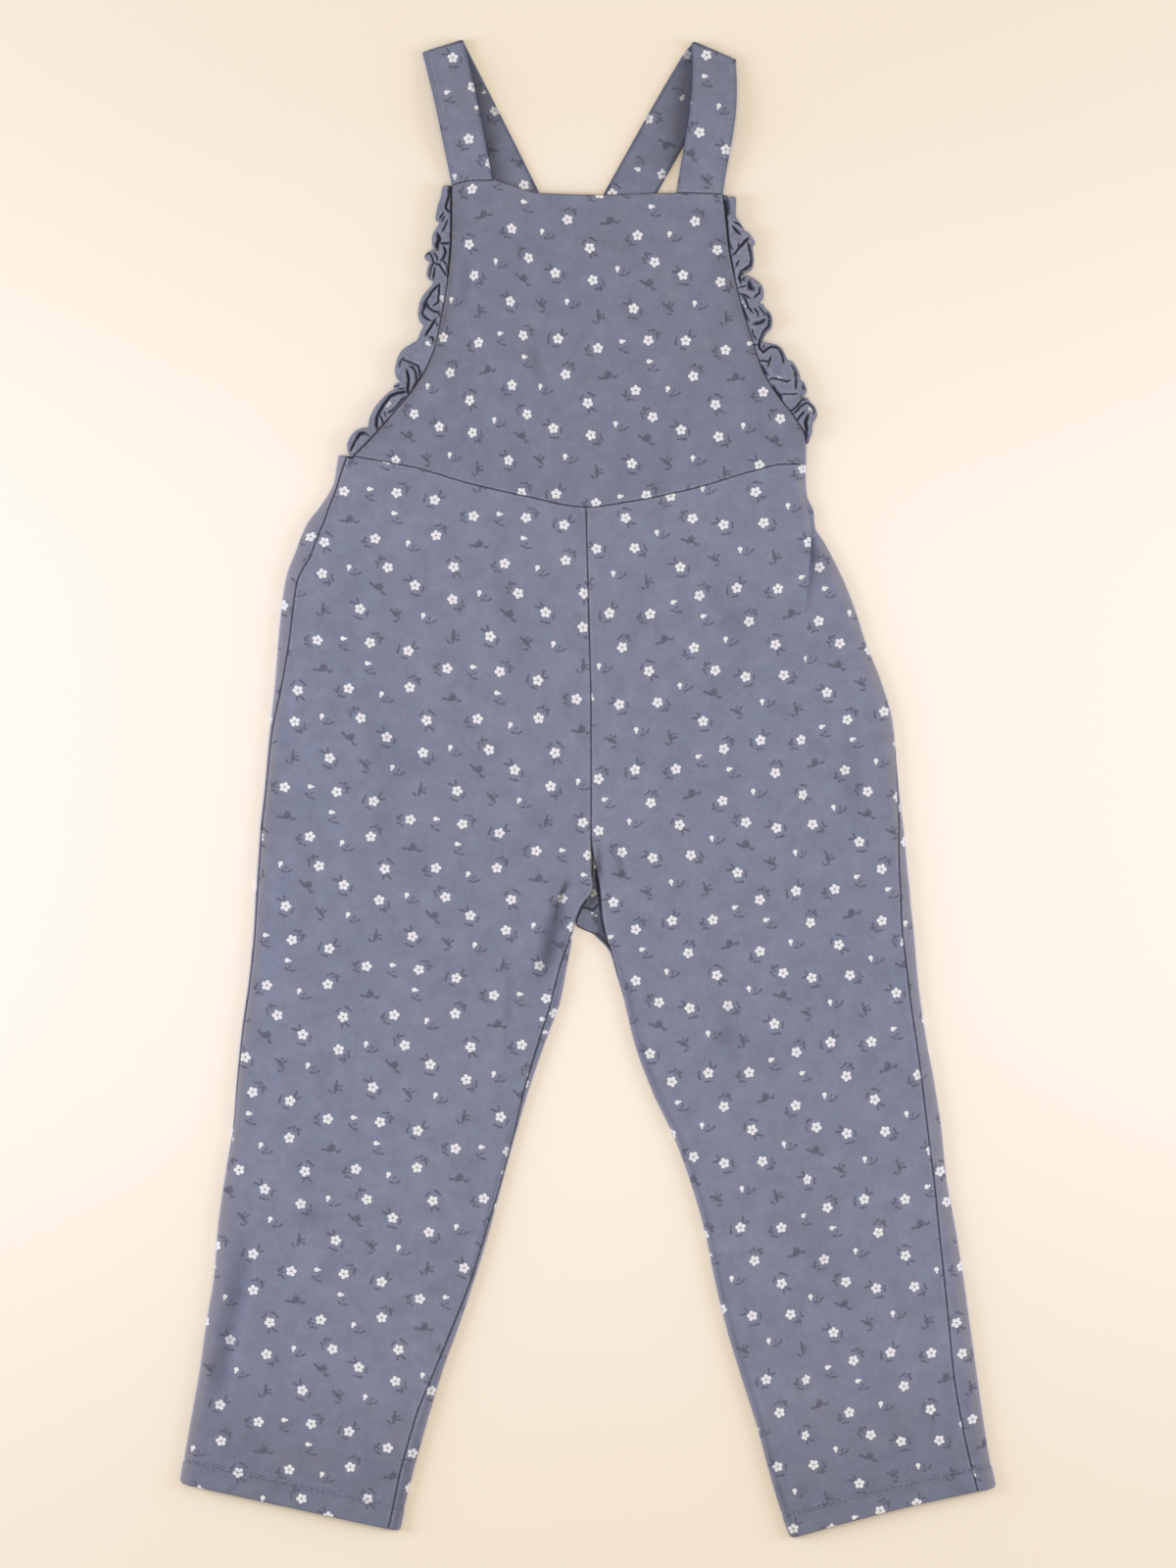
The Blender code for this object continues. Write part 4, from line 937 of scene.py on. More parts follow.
def cloth_wall(name, spots, flip, materials, thickness=CLOTH_WALL):
    """The wall that stands for one solid. spots[j][i] is the Spot of row j and column i.

    flip turns the outer face round. The materials are those of the outer and of the inner face.
    """
    rows, columns = len(spots), len(spots[0])
    bm = bmesh.new()
    bmesh.ops.create_grid(bm, x_segments=columns - 1, y_segments=rows - 1, size=0.5)
    uv = bm.loops.layers.uv.new("Cloth")
    sewn = bm.verts.layers.float_vector.new("sewn")
    hem = bm.verts.layers.float.new("hem")
    deep = bm.verts.layers.float.new("deep")
    found = {}
    for vert in bm.verts:
        i, j = round((vert.co.x + 0.5) * (columns - 1)), round((vert.co.y + 0.5) * (rows - 1))
        spot = spots[j][i]
        found[vert] = spot
        vert.co = Vector(spot[:3]) * MM
        vert[sewn] = spot.sewn
        vert[hem] = spot.hem
        vert[deep] = spot.deep
    if flip:
        bmesh.ops.reverse_faces(bm, faces=bm.faces)
    bm.normal_update()
    for vert, spot in found.items():
        vert.co += vert.normal * spot.relief * MM
        for loop in vert.link_loops:
            loop[uv].uv = (spot.across * MM, -spot.down * MM)
    piece = new_object(f"Cloth_{name}", bm)
    piece.data.shade_smooth()
    for material in materials:
        piece.data.materials.append(material)
    wall = piece.modifiers.new("Wall", "SOLIDIFY")
    wall.thickness = thickness * MM
    wall.offset = -1.0
    wall.material_offset = len(materials) - 1
    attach(piece, "root")
    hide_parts(name)
    print(name, rows, "x", columns, "points")


def edge_roll(distance, deep=0.4, run=1.0):
    """A cut or sewn edge rolls in over its last millimetre or so."""
    return -deep * max(1 - distance / run, 0.0) ** 2


# %% [markdown]
# ## Legs
#
# A laid trouser leg is a flattened tube. Its section is one closed loop: over the front, round the inner
# fold, along the board, round the outer fold. The side seam and the inseam cut each loop in two, so the
# front and the back panel share their shape and their edges meet. Where the back panel is wider, the loop
# carries it round the fold and it shows as a strip on the front, beside the dark line of the seam.

# %% Leg sections
Section = namedtuple("Section", "start along width fold outer_bend inner_bend half")
EDGE_STEPS = (0.0, 0.3, 0.7, 1.3, 2.2)  # grid lines beside a sewn edge, mm from it
EDGE_MARGIN = EDGE_STEPS[-1]
ROW_STEP, FLAT_STEP, BEND_STEP = 2.4, 1.7, 0.5
HEM_RISE = 0.3  # how much thicker the turned-up cloth is
HEM_GROOVE, HEM_GROOVE_WIDTH = 0.35, 0.8  # the dent along its stitches
HEM_CORNER, HEM_CORNER_RUN = 3.0, 9.0  # radius of a hem's corners, and how far the cloth gives way to them
# painted light: the rims of both folds are painted paler and warmer, as light thrown up from the board
OUTER_RIM_LIT, RIM_WIDTH, RIM_FADE = 0.50, 2.5, 6.0  # the pale rim along the outer fold
INNER_RIM_LIT, INNER_WIDTH, INNER_FADE = 0.40, 1.2, 2.2  # the thin one along the inner fold
INNER_SHADE, INNER_SHADE_AT, INNER_SHADE_WIDTH = 0.21, 4.1, 1.2  # and the shadow beside it
HEM_BOW, HEM_BOW_REACH = 1.8, 34.0  # how far the left hem is drawn up in its middle
CROTCH_STRIP = 5.0  # the grid is closer this far from the centre seam
FRONT_COLUMNS, BACK_COLUMNS = 116, 124


class Leg:
    """The closed sections of one leg. A place on a section is its distance round from the outer fold."""

    def __init__(self, table, back_inner=()):
        rows = [list(row) for row in table]
        folds = [FOLD if row[5] else 0.0 for row in rows]
        for row, x, y in back_inner:
            rows[row][2:4] = (x, y)
        self.is_back, self.is_left = bool(back_inner), table is LEFT_LEG
        if self.is_back:
            for row, fold in zip(rows, folds):
                row[5] = row[5] if fold else UNDER_CENTRE
        numbers = range(len(rows))
        self.lines = {name: Line(numbers, column) for name, column in zip(LEG_COLUMNS, zip(*rows))}
        self.lines["fold"] = Line(numbers, folds)
        self.waist = rows[0][1], rows[0][3]
        self.sections = {}
        downs = [0.0]
        for above, below in zip(rows, rows[1:]):
            middles = [Vector(((row[0] + row[2]) / 2, (row[1] + row[3]) / 2)) for row in (above, below)]
            downs.append(downs[-1] + (middles[1] - middles[0]).length)
        self.row_at, self.length = Line(downs, numbers), downs[-1]

    def section(self, row):
        """The section at a row of the table, or between two rows."""
        if row not in self.sections:
            read = {name: line.at(row) for name, line in self.lines.items()}
            start, end = Vector((read["out_x"], read["out_y"])), Vector((read["in_x"], read["in_y"]))
            width, fold = (end - start).length, read["fold"]
            bends = QUARTER * FOLD, QUARTER * math.sqrt((fold**2 + FOLD**2) / 2)
            half = bends[0] + width - FOLD - fold + bends[1]
            self.sections[row] = Section(start, (end - start) / width, width, fold, *bends, half)
        return self.sections[row]

    def seam(self, name, row):
        """Where a seam lies, as a distance from the folded edge round the section, and half its gap."""
        s = self.section(row)
        fold, bend = (FOLD, s.outer_bend) if name == "side" else (s.fold, s.inner_bend)
        seen = self.lines[name].at(row)
        size = abs(seen)
        length = bend + size - fold if size >= fold else bend * math.acos(1 - size / fold) / QUARTER
        bent = smooth((bend + 1 - length) / 1.5) if fold else 0.0
        return math.copysign(length, seen), SEAM / 2 * (1 + bent * 0.6)

    def edges(self, row):
        """The first and the last place of the panel on this section."""
        side, side_gap = self.seam("side", row)
        inseam, inseam_gap = self.seam("inseam", row)
        half = self.section(row).half
        if self.is_back:
            return half - inseam + inseam_gap, 2 * half + side - side_gap
        return side + side_gap, half - inseam - inseam_gap

    def spread(self, first, last, share, row):
        """Places between two others, closer together round the bends."""
        s = self.section(row)
        loop = 2 * s.half
        reach = s.inner_bend + (1 - s.fold / FOLD) * CROTCH_STRIP
        bends = (
            (-s.outer_bend, s.outer_bend),
            (s.half - reach, s.half + reach),
            (loop - s.outer_bend, loop + s.outer_bend),
        )
        stops = sorted({first, last, *(clamp(stop, first, last) for bend in bends for stop in bend)})
        counts = [0.0]
        for low, high in zip(stops, stops[1:]):
            bent = any(bend[0] - 0.01 <= (low + high) / 2 <= bend[1] + 0.01 for bend in bends)
            counts.append(counts[-1] + (high - low) / (BEND_STEP if bent else FLAT_STEP))
        wanted = share * counts[-1]
        k = next(k for k in range(len(stops) - 1) if wanted <= counts[k + 1] or k == len(stops) - 2)
        run = stops[k + 1] - stops[k]
        return stops[k] + run * (wanted - counts[k]) / (counts[k + 1] - counts[k])

    def top(self, s, here, d):
        """Height of the front cloth at the distance d from the outer end."""
        rise = smooth((d - FOLD) / PUFF_RUN)
        closed = s.fold / FOLD
        rise *= 1 - closed * (1 - smooth((s.width - s.fold - d) / PUFF_RUN))
        dip = CENTRE_DIP * (1 - closed) * bell(s.width - d, CENTRE_DIP_RUN)
        ends = smooth((d - FOLD) / CREASE_EASE)
        ends *= 1 - closed * (1 - smooth((s.width - s.fold - d) / CREASE_EASE))
        lift = tucked(here.x, here.y) + creased(FRONT_RUNS, here.x, here.y) + uneven(here.x, here.y, 0.5)
        return 2 * FOLD + (BODY - 2 * FOLD) * rise - dip + lift * ends

    def spot(self, place, row, first, last, down, grain):
        """A point of the panel, with its place in the print and its distances to the sewn edges."""
        s = self.section(row)
        loop = 2 * s.half
        way = (place + s.half) % loop - s.half
        under, way = way < 0, abs(way)
        turn_in = (s.half - way) / s.inner_bend * QUARTER
        if way < s.outer_bend:
            turn = way / s.outer_bend * QUARTER
            d, z = FOLD * (1 - math.cos(turn)), FOLD * math.sin(turn)
        elif turn_in >= QUARTER:
            d = FOLD + way - s.outer_bend
            z = FOLD if under else self.top(s, s.start + s.along * d, d) - FOLD
        else:
            d = s.width - s.fold
            full = FOLD if under else self.top(s, s.start + s.along * d, d) - FOLD
            d, z = s.width - s.fold * (1 - math.cos(turn_in)), full * math.sin(turn_in)
        if self.length - down < HEM_CORNER:
            cut = HEM_CORNER - math.sqrt(HEM_CORNER**2 - (HEM_CORNER - self.length + down) ** 2)
            d += cut * (smooth((s.width - d) / HEM_CORNER_RUN) - smooth(d / HEM_CORNER_RUN))
        here = s.start + s.along * d
        if self.is_left:
            share = clamp(d / s.width)
            here.y += HEM_BOW * 4 * share * (1 - share) * bell(self.length - down, HEM_BOW_REACH)
        if under:
            inside = min(d, s.width - d)
            lift = creased(BACK_RUNS, here.x, here.y) - 0.5 * abs(uneven(here.x, here.y, 9.5))
            z += lift * smooth((inside - FOLD) / CREASE_EASE)
        if not self.is_back and WAIST_SEAM[0][0] <= here.x <= WAIST_SEAM[-1][0]:
            bow = WAIST_LINE.at(here.x) - (self.waist[0] + (self.waist[1] - self.waist[0]) * d / s.width)
            here.y += bow * smooth(1 - row / WAIST_BOW_ROWS)
        if self.is_back:
            unrolled = here + s.along * (loop - place - s.outer_bend + FOLD - d)
            across, print_down = grain.at(-unrolled.x, unrolled.y)
        else:
            unrolled = here + s.along * (place - s.outer_bend + FOLD - d)
            if self.is_left:
                unrolled = Vector(hip_cloth(*unrolled))
            across, print_down = grain.at(unrolled.x, unrolled.y)
        hem = self.length - down
        sewn = (place - first, last - place, down)
        relief = edge_roll(min(sewn)) + edge_roll(hem, 0.45)
        relief += HEM_RISE * smooth((HEM_DEPTH - hem) / 1.2 + 0.5)
        relief -= HEM_GROOVE * bell(hem - HEM_DEPTH, HEM_GROOVE_WIDTH)
        deep = deepness(BACK_RUNS if under else FRONT_RUNS, here.x, here.y)
        if not under:
            deep = max(deep, tuck_shade(here.x, here.y))
        # painted shade beside the inner fold, and painted light along the rims of both folds
        inner = s.half - way
        shade = INNER_SHADE * bell(inner - INNER_SHADE_AT, INNER_SHADE_WIDTH)
        deep += (shade - INNER_RIM_LIT * (1 - smooth((inner - INNER_WIDTH) / INNER_FADE))) * s.fold / FOLD
        deep -= OUTER_RIM_LIT * (1 - smooth((way - RIM_WIDTH) / RIM_FADE))
        z = FOLD - z if under else FOLD + z
        return Spot(here.x, here.y, z, across, print_down, sewn, hem, relief, deep)

    def rows(self):
        """Distances down the leg for the rows of its grid."""
        count = round(self.length / ROW_STEP)
        inner = self.length - 2 * EDGE_MARGIN
        middle = [EDGE_MARGIN + inner * k / count for k in range(1, count)]
        return [*EDGE_STEPS, *middle, *(self.length - step for step in reversed(EDGE_STEPS))]

    def panel(self, columns, grain):
        """All spots of the panel, row by row."""
        spots = []
        for down in self.rows():
            row = self.row_at.at(down)
            first, last = self.edges(row)
            ends = first + EDGE_MARGIN, last - EDGE_MARGIN
            inside = [self.spread(*ends, k / columns, row) for k in range(1, columns)]
            places = [first + step for step in EDGE_STEPS] + inside
            places += [last - step for step in reversed(EDGE_STEPS)]
            spots.append([self.spot(place, row, first, last, down, grain) for place in places])
        return spots


# %% Leg panels
LEG_PANELS = {  # each panel's shape, grid columns, grain and slot
    ("front", "right"): (Leg(RIGHT_LEG), FRONT_COLUMNS, FRONT_GRAIN["right"], "legs"),
    ("back", "right"): (Leg(RIGHT_LEG, RIGHT_BACK_INNER), BACK_COLUMNS, BACK_GRAIN["right"], "back"),
    ("front", "left"): (Leg(LEFT_LEG), FRONT_COLUMNS, FRONT_GRAIN["left"], "legs"),
    ("back", "left"): (Leg(LEFT_LEG, LEFT_BACK_INNER), BACK_COLUMNS, BACK_GRAIN["left"], "back"),
}
for (face, side), (leg, columns, grain, slot) in LEG_PANELS.items():
    spots = leg.panel(columns, grain)
    cloth_wall(f"{face}_{side}_leg", spots, side == "right", (CLOTH[slot], CLOTH["reverse"]))

# %% [markdown]
# ## Bib
#
# The bib is one panel with four curved edges, so its inside is filled in smoothly between them, as a Coons
# patch. It lies lower at its sides, where the ruffles are sewn on, and higher over the crossing straps.

# %% Bib
BIB_TOP = (  # x, y
    (-76.2, 338.4), (-63.8, 341.1), (-53.4, 341.1), (-44, 338.6), (-28.6, 334.2), (-11.8, 333.4),
    (10.5, 333), (48.4, 334.1), (75.4, 333.4),
)
BIB_RIGHT_SIDE = (  # y, x
    (338.4, -76.2), (308, -76.5), (284.9, -78.7), (264.8, -82.2), (249.2, -85.4), (237.6, -89.7),
    (227.2, -95.9), (218.5, -102.3), (210.1, -109.6), (198, -120.1), (186.8, -131.1),
)
BIB_LEFT_SIDE = (
    (333.4, 75.4), (317.1, 77.3), (303.8, 78.7), (285.1, 82.5), (269.1, 86.6), (251.9, 91.9), (233.2, 98.5),
    (220, 106.7), (207.9, 116.1), (195.8, 122), (182.3, 122.1),
)
BIB_HEIGHTS = ((0.0, 4.3, 4.4), (0.2, 3.5, 4.8), (0.7, 3.5, 4.8), (0.85, 3.8, 5.0), (1.0, 4.6, BODY))
BIB_EDGE_RUN = 22.0  # how far from its sides the bib reaches its middle's height
BIB_DIP_FROM = 0.9  # share of its length from which it dips towards the centre seam
BIB_LAP = 0.4  # how far its sides' seam lines lie off their edges
BIB_OVER_CROSSING, CROSSING_REACH, CROSSING_RAMP = 1.7, 35.0, 28.0
STRAP_CROSSING = Vector((-11.0, 264.0))
BIB_COLUMNS, BIB_ROWS = 84, 64
BIB_WIDTH, BIB_LENGTH = 200.0, 165.0  # about its size as it lies
BIB_TOP_LINE = table_line(BIB_TOP, 0, 1)
BIB_TABLES = {"right": BIB_RIGHT_SIDE, "left": BIB_LEFT_SIDE}
BIB_SIDES = {side: table_line(table, 0, 1) for side, table in BIB_TABLES.items()}
BIB_ENDS = {side: (table[0][0], table[-1][0]) for side, table in BIB_TABLES.items()}
SIDE_HEIGHT, MIDDLE_HEIGHT = table_line(BIB_HEIGHTS, 0, 1), table_line(BIB_HEIGHTS, 0, 2)


def bib_edge(side, down):
    """The place on a side of the bib, at a share of the way down."""
    top, low = BIB_ENDS[side]
    y = top + (low - top) * down
    return Vector((BIB_SIDES[side].at(y), y))


BIB_CORNERS = [Vector(BIB_TOP[0]), Vector(BIB_TOP[-1]), bib_edge("right", 1), bib_edge("left", 1)]


def bib_spot(across, down):
    """The point of the bib at two shares, of its width and of its length."""
    right, left = bib_edge("right", down), bib_edge("left", down)
    top_x = BIB_TOP[0][0] + (BIB_TOP[-1][0] - BIB_TOP[0][0]) * across
    low_x = BIB_CORNERS[2].x + (BIB_CORNERS[3].x - BIB_CORNERS[2].x) * across
    top, low = Vector((top_x, BIB_TOP_LINE.at(top_x))), Vector((low_x, WAIST_LINE.at(low_x) + SEAM))
    flat = (BIB_CORNERS[0] * (1 - across) + BIB_CORNERS[1] * across) * (1 - down)
    flat += (BIB_CORNERS[2] * (1 - across) + BIB_CORNERS[3] * across) * down
    here = top * (1 - down) + low * down + right * (1 - across) + left * across - flat
    from_right, from_left = (here - right).length, (here - left).length
    inside = min(from_right, from_left)
    side, middle = SIDE_HEIGHT.at(down), MIDDLE_HEIGHT.at(down)
    z = side + (middle - side) * smooth(inside / BIB_EDGE_RUN)
    away = (here - STRAP_CROSSING).length
    z += BIB_OVER_CROSSING * (1 - smooth((away - CROSSING_REACH) / CROSSING_RAMP))
    dip = bell(here.x - WAIST_SEAM[4][0], CENTRE_DIP_RUN)
    z -= CENTRE_DIP * dip * smooth((down - BIB_DIP_FROM) / (1 - BIB_DIP_FROM))
    lift = creased(FRONT_RUNS, here.x, here.y) + uneven(here.x, here.y, 4.5)
    z += lift * smooth(inside / CREASE_EASE) * smooth((1 - down) * 12)
    sewn = (from_right + BIB_LAP, from_left + BIB_LAP, here.y - WAIST_LINE.at(here.x))
    relief = edge_roll(min(sewn)) + edge_roll((here - top).length, 0.5)
    u, v = BIB_GRAIN.at(*bib_drawn_in(here.x, here.y))
    return Spot(here.x, here.y, z, u, v, sewn, FAR, relief, deepness(FRONT_RUNS, here.x, here.y))


def shares_with_edges(count, length):
    """Even shares of a length, with closer ones at both ends."""
    margin = EDGE_MARGIN / length
    middle = [margin + (1 - 2 * margin) * k / count for k in range(1, count)]
    edge = [step / length for step in EDGE_STEPS]
    return [*edge, *middle, *(1 - step for step in reversed(edge))]


across_shares = shares_with_edges(BIB_COLUMNS, BIB_WIDTH)
spots = [[bib_spot(a, d) for a in across_shares] for d in shares_with_edges(BIB_ROWS, BIB_LENGTH)]
cloth_wall("bib", spots, True, (CLOTH["bib"], CLOTH["reverse"]))

# %% [markdown]
# ## Straps
#
# A strap is a folded tube of cloth, pressed flat: a ribbon two layers thick with soft edges. Both start at
# the bib, are folded over at the shoulder and cross behind the bib on their way to the back waist.

# %% Straps
BAND_TOP_Y = 203.0
STRAPS = {
    "right": {
        "bib": ((-76.4, 339.0), (-53.4, 341.6)),
        "shoulder": ((-92.4, 411.3), (-69.6, 418.5)),
        "back": ((5.4, BAND_TOP_Y + SEAM), (32.4, BAND_TOP_Y + SEAM)),
        "over": 0.0,
        "fold_side": 0,
        "bow": 0.6,
        "back_bow": 2.6,
        "back_bend": 1.0,
    },
    "left": {
        "bib": ((49.6, 334.6), (75.6, 334.0)),
        "shoulder": ((58.2, 417.6), (82.8, 407.2)),
        "back": ((-58.4, BAND_TOP_Y + SEAM), (-29.6, BAND_TOP_Y + SEAM)),
        "over": DOUBLED + SEAM,
        "fold_side": 1,
        "bow": 2.8,
        "back_bow": -4.0,
        "back_bend": 0.35,
    },
}
STRAP_FOLD = DOUBLED + SEAM / 2  # radius of the fold at the shoulder
STRAP_END_RUN = 20.0  # how far up a strap its end follows the bib's edge
STRAP_ARCH = 3.6  # how far the front run stands off the back one
STRAP_STEP, STRAP_FOLD_STEPS = 3.0, 16
CROSSING_FLAT = 27.0  # how far from the crossing the upper strap lies on the lower one
STRAP_SHARES = (0.0, 0.012, 0.03, 0.055, 0.085, 0.11, 0.135, 0.17, 0.25, 0.35, 0.45, 0.55, 0.65, 0.75, 0.83)
STRAP_SHARES += (0.865, 0.89, 0.915, 0.945, 0.97, 0.988, 1.0)
STRAP_EDGE_SHADE, STRAP_EDGE_SHADE_RUN = 0.42, 1.8
STRAP_EDGE_STRIP = 2.5  # the folded strip along a strap's outer edge
STRIP_GROOVE, STRIP_GROOVE_WIDTH = 0.4, 0.45  # the dent beside it
STRIP_LINE_OFF = 0.35  # keeps its line paler than a seam's
UNDER_SHADE, UNDER_SHADE_RUN = 0.46, 8.0  # how dark the back run lies beside the front one
UPPER_SHADE, UPPER_SHADE_FROM, UPPER_SHADE_RUN = 0.10, 330, 20  # and above the bib


class Strap:
    """A strap's ribbon, from the bib over the shoulder's fold to the back waist piece."""

    def __init__(self, sizes, grains):
        """grains are the print's on the front run and on the back one."""
        self.sizes, self.grains = sizes, grains
        ends = [[Vector(corner) for corner in sizes[end]] for end in ("bib", "shoulder", "back")]
        self.bib, self.shoulder, self.back = ends
        line = self.shoulder[1] - self.shoulder[0]
        self.width = line.length
        self.out = Vector((-line.y, line.x)).normalized()
        bib, shoulder, back = [(a + b) / 2 for a, b in (self.bib, self.shoulder, self.back)]
        self.front_length, self.back_length = (shoulder - bib).length, (back - shoulder).length
        self.fold_length = math.pi * STRAP_FOLD
        self.length = self.front_length + self.fold_length + self.back_length

    def spot(self, across, way):
        """The point at a share of the strap's width and a distance along it."""
        shoulder = self.shoulder[0].lerp(self.shoulder[1], across)
        if way <= self.front_length:
            along = way / self.front_length
            here = self.bib[0].lerp(self.bib[1], across).lerp(shoulder, along)
            here.x += self.sizes["bow"] * math.sin(math.pi * along**1.4)
            edge = BIB_TOP_LINE.at(here.x) + SEAM + way
            here.y += (edge - here.y) * smooth(1 - way / STRAP_END_RUN)
            z = 2 * STRAP_FOLD + STRAP_ARCH * math.sin(math.pi * along) ** 1.5
            printed = self.grains[0].at(here.x, here.y)
        elif way <= self.front_length + self.fold_length:
            turn = (way - self.front_length) / STRAP_FOLD
            here = shoulder + self.out * STRAP_FOLD * math.sin(turn)
            z = STRAP_FOLD * (1 + math.cos(turn))
            behind = turn > QUARTER
            flat = shoulder + self.out * STRAP_FOLD * (math.pi - turn if behind else turn)
            printed = self.grains[behind].at(flat.x, flat.y)
        else:
            gone = way - self.front_length - self.fold_length
            along = min(gone / self.back_length, 1.0)
            here = shoulder.lerp(self.back[0].lerp(self.back[1], across), along)
            here.x += self.sizes["back_bow"] * max(math.sin(math.pi * along), 0.0) ** self.sizes["back_bend"]
            away = (here - STRAP_CROSSING).length
            z = self.sizes["over"] * (1 - smooth((away - CROSSING_FLAT) / CROSSING_RAMP))
            printed = self.grains[1].at(here.x, here.y)
        sides = across * self.width, (1 - across) * self.width
        outer = sides[self.sizes["fold_side"]]
        relief = edge_roll(min(sides), 0.75, 1.6)
        relief -= STRIP_GROOVE * bell(outer - STRAP_EDGE_STRIP, STRIP_GROOVE_WIDTH)
        relief += 0.10 * noise.noise(Vector((way / 9, across * 2, 3.5)))
        if way < self.front_length:
            relief += edge_roll(way, 0.5, 1.2)
        # the dark line beside the folded strip reads as a seam in the cloth's attribute
        strip = abs(outer - STRAP_EDGE_STRIP) + STRIP_LINE_OFF
        ends = min(way, self.length - way)
        sewn = (strip if way < self.front_length + 3 else FAR, ends, FAR)
        deep = max(STRAP_EDGE_SHADE * (1 - min(sides) / STRAP_EDGE_SHADE_RUN), 0.0)
        if way > self.front_length:
            deep = max(deep, self.under_front(here))
        return Spot(here.x, here.y, z, *printed, sewn, FAR, relief, deep)

    def under_front(self, here):
        """The back run gets little light beside the front one, which stands off it like a half-open book."""
        inner = 1 - self.sizes["fold_side"]
        start, end = self.bib[inner], self.shoulder[inner]
        along = clamp((here.y - start.y) / (end.y - start.y))
        away = abs(here.x - start.x - (end.x - start.x) * along)
        above = smooth((here.y - UPPER_SHADE_FROM) / UPPER_SHADE_RUN)
        return UNDER_SHADE * bell(away, UNDER_SHADE_RUN) + UPPER_SHADE * above

    def ways(self):
        """Distances along the strap for the rows of its grid."""
        ways, start = list(EDGE_STEPS[:-1]), 0.0
        for run, count in (
            (self.front_length, round(self.front_length / STRAP_STEP)),
            (self.fold_length, STRAP_FOLD_STEPS),
            (self.back_length, round(self.back_length / STRAP_STEP)),
        ):
            ways += [start + run * k / count for k in range(1, count + 1)]
            start += run
        return ways


for side, sizes in STRAPS.items():
    strap = Strap(sizes, STRAP_GRAIN[side])
    spots = [[strap.spot(share, way) for share in STRAP_SHARES] for way in strap.ways()]
    cloth_wall(f"strap_{side}", spots, False, (CLOTH["straps"], CLOTH["straps_inside"]), DOUBLED)
    print(f"strap_{side}: {strap.width:.0f} x {strap.length:.0f} mm")

# %% [markdown]
# ## Back waist piece
#
# Behind, a plain doubled strip joins the back panels and takes the ends of the straps. It lies on the
# board, so it stays flat, with a little fullness drawn in.

# %% Back waist piece
BAND_LOWER = (-127.0, 119.0)
BAND_UPPER = (-113.0, 116.0)
BAND_COLUMNS, BAND_ROWS = 120, 10
BAND_WALL = 1.7
BAND_GATHERS, BAND_UNEVEN, BAND_SINK = 0.18, 0.10, 0.28  # waves, swell, and how low it lies on the whole


def band_spot(across, up):
    """The point of the strip at two shares, of its width and of its height."""
    right_x = BAND_LOWER[0] + (BAND_UPPER[0] - BAND_LOWER[0]) * up
    left_x = BAND_LOWER[1] + (BAND_UPPER[1] - BAND_LOWER[1]) * up
    x = right_x + (left_x - right_x) * across
    (x0, y0), (x1, y1) = BACK_WAIST[:2] if x <= BACK_WAIST[1][0] else BACK_WAIST[1:]
    low_y = y0 + (y1 - y0) * (x - x0) / (x1 - x0) + SEAM
    y = low_y + (BAND_TOP_Y - low_y) * up
    sewn = (x - right_x, left_x - x, y - low_y)
    gathers = BAND_GATHERS * math.sin(x * 1.1) * math.sin(math.pi * up)
    gathers += BAND_UNEVEN * noise.noise(Vector((x / 5, up, 1.5)))
    relief = edge_roll(min(sewn)) + edge_roll(BAND_TOP_Y - y) - BAND_SINK
    relief += gathers * smooth(up * 6) * smooth((1 - up) * 6)
    return Spot(x, y, 0.0, -x, -y, sewn, FAR, min(relief, -0.02))


across_shares = [i / BAND_COLUMNS for i in range(BAND_COLUMNS + 1)]
spots = [[band_spot(across, j / BAND_ROWS) for across in across_shares] for j in range(BAND_ROWS + 1)]
cloth_wall("back_band", spots, True, (CLOTH["back"],), BAND_WALL)

# %% [markdown]
# ## Ruffles
#
# A ruffle is a long folded strip, gathered to half its length and sewn under the bib's edge. Its free edge
# has nowhere to go but to and fro, so it stands on edge and winds, and its cloth falls in small, deep folds.
# A cloth simulation would give some ruffle, but not this one. So its outline is charted point by point, and
# so is each fold as a valley. Between two valleys the cloth stays up as a rounded ridge.

# %% Ruffle outlines
# Columns: x, y. The free edge, from the bib's top down.
RIGHT_RUFFLE = (
    (-77.6, 338), (-80, 338.4), (-81.7, 336.9), (-82.5, 332.2), (-84.2, 327.3), (-85.5, 319.6),
    (-83.4, 317.4), (-86.1, 313), (-87.2, 310.2), (-87.5, 305.8), (-86.6, 302.4), (-88.6, 301.9),
    (-90.8, 300.4), (-91.7, 298.1), (-90.5, 296.4), (-88.8, 295.4), (-89.9, 292.1), (-90.5, 288.8),
    (-89.7, 286.2), (-86.9, 284.3), (-88.4, 281.6), (-91.3, 278.3), (-93.8, 274.5), (-94.9, 270.1),
    (-95.3, 265.7), (-94.3, 262.4), (-92.4, 259.6), (-94.1, 255.8), (-95.7, 251.9), (-99, 249.7),
    (-104, 246.4), (-106.4, 242.6), (-107.8, 238.2), (-108.3, 234.3), (-107.3, 230.6), (-105.6, 228.3),
    (-107.6, 227.4), (-109.2, 225.8), (-108.6, 224.1), (-111.1, 223), (-114.4, 220), (-118.8, 215.1),
    (-121.6, 210.1), (-122.9, 206.3), (-123.4, 202.8), (-126.5, 202.5), (-129.8, 201.3), (-132.6, 198.6),
    (-134.8, 194.2), (-135, 190.9), (-134.2, 188.2), (-132.6, 186.2),
)
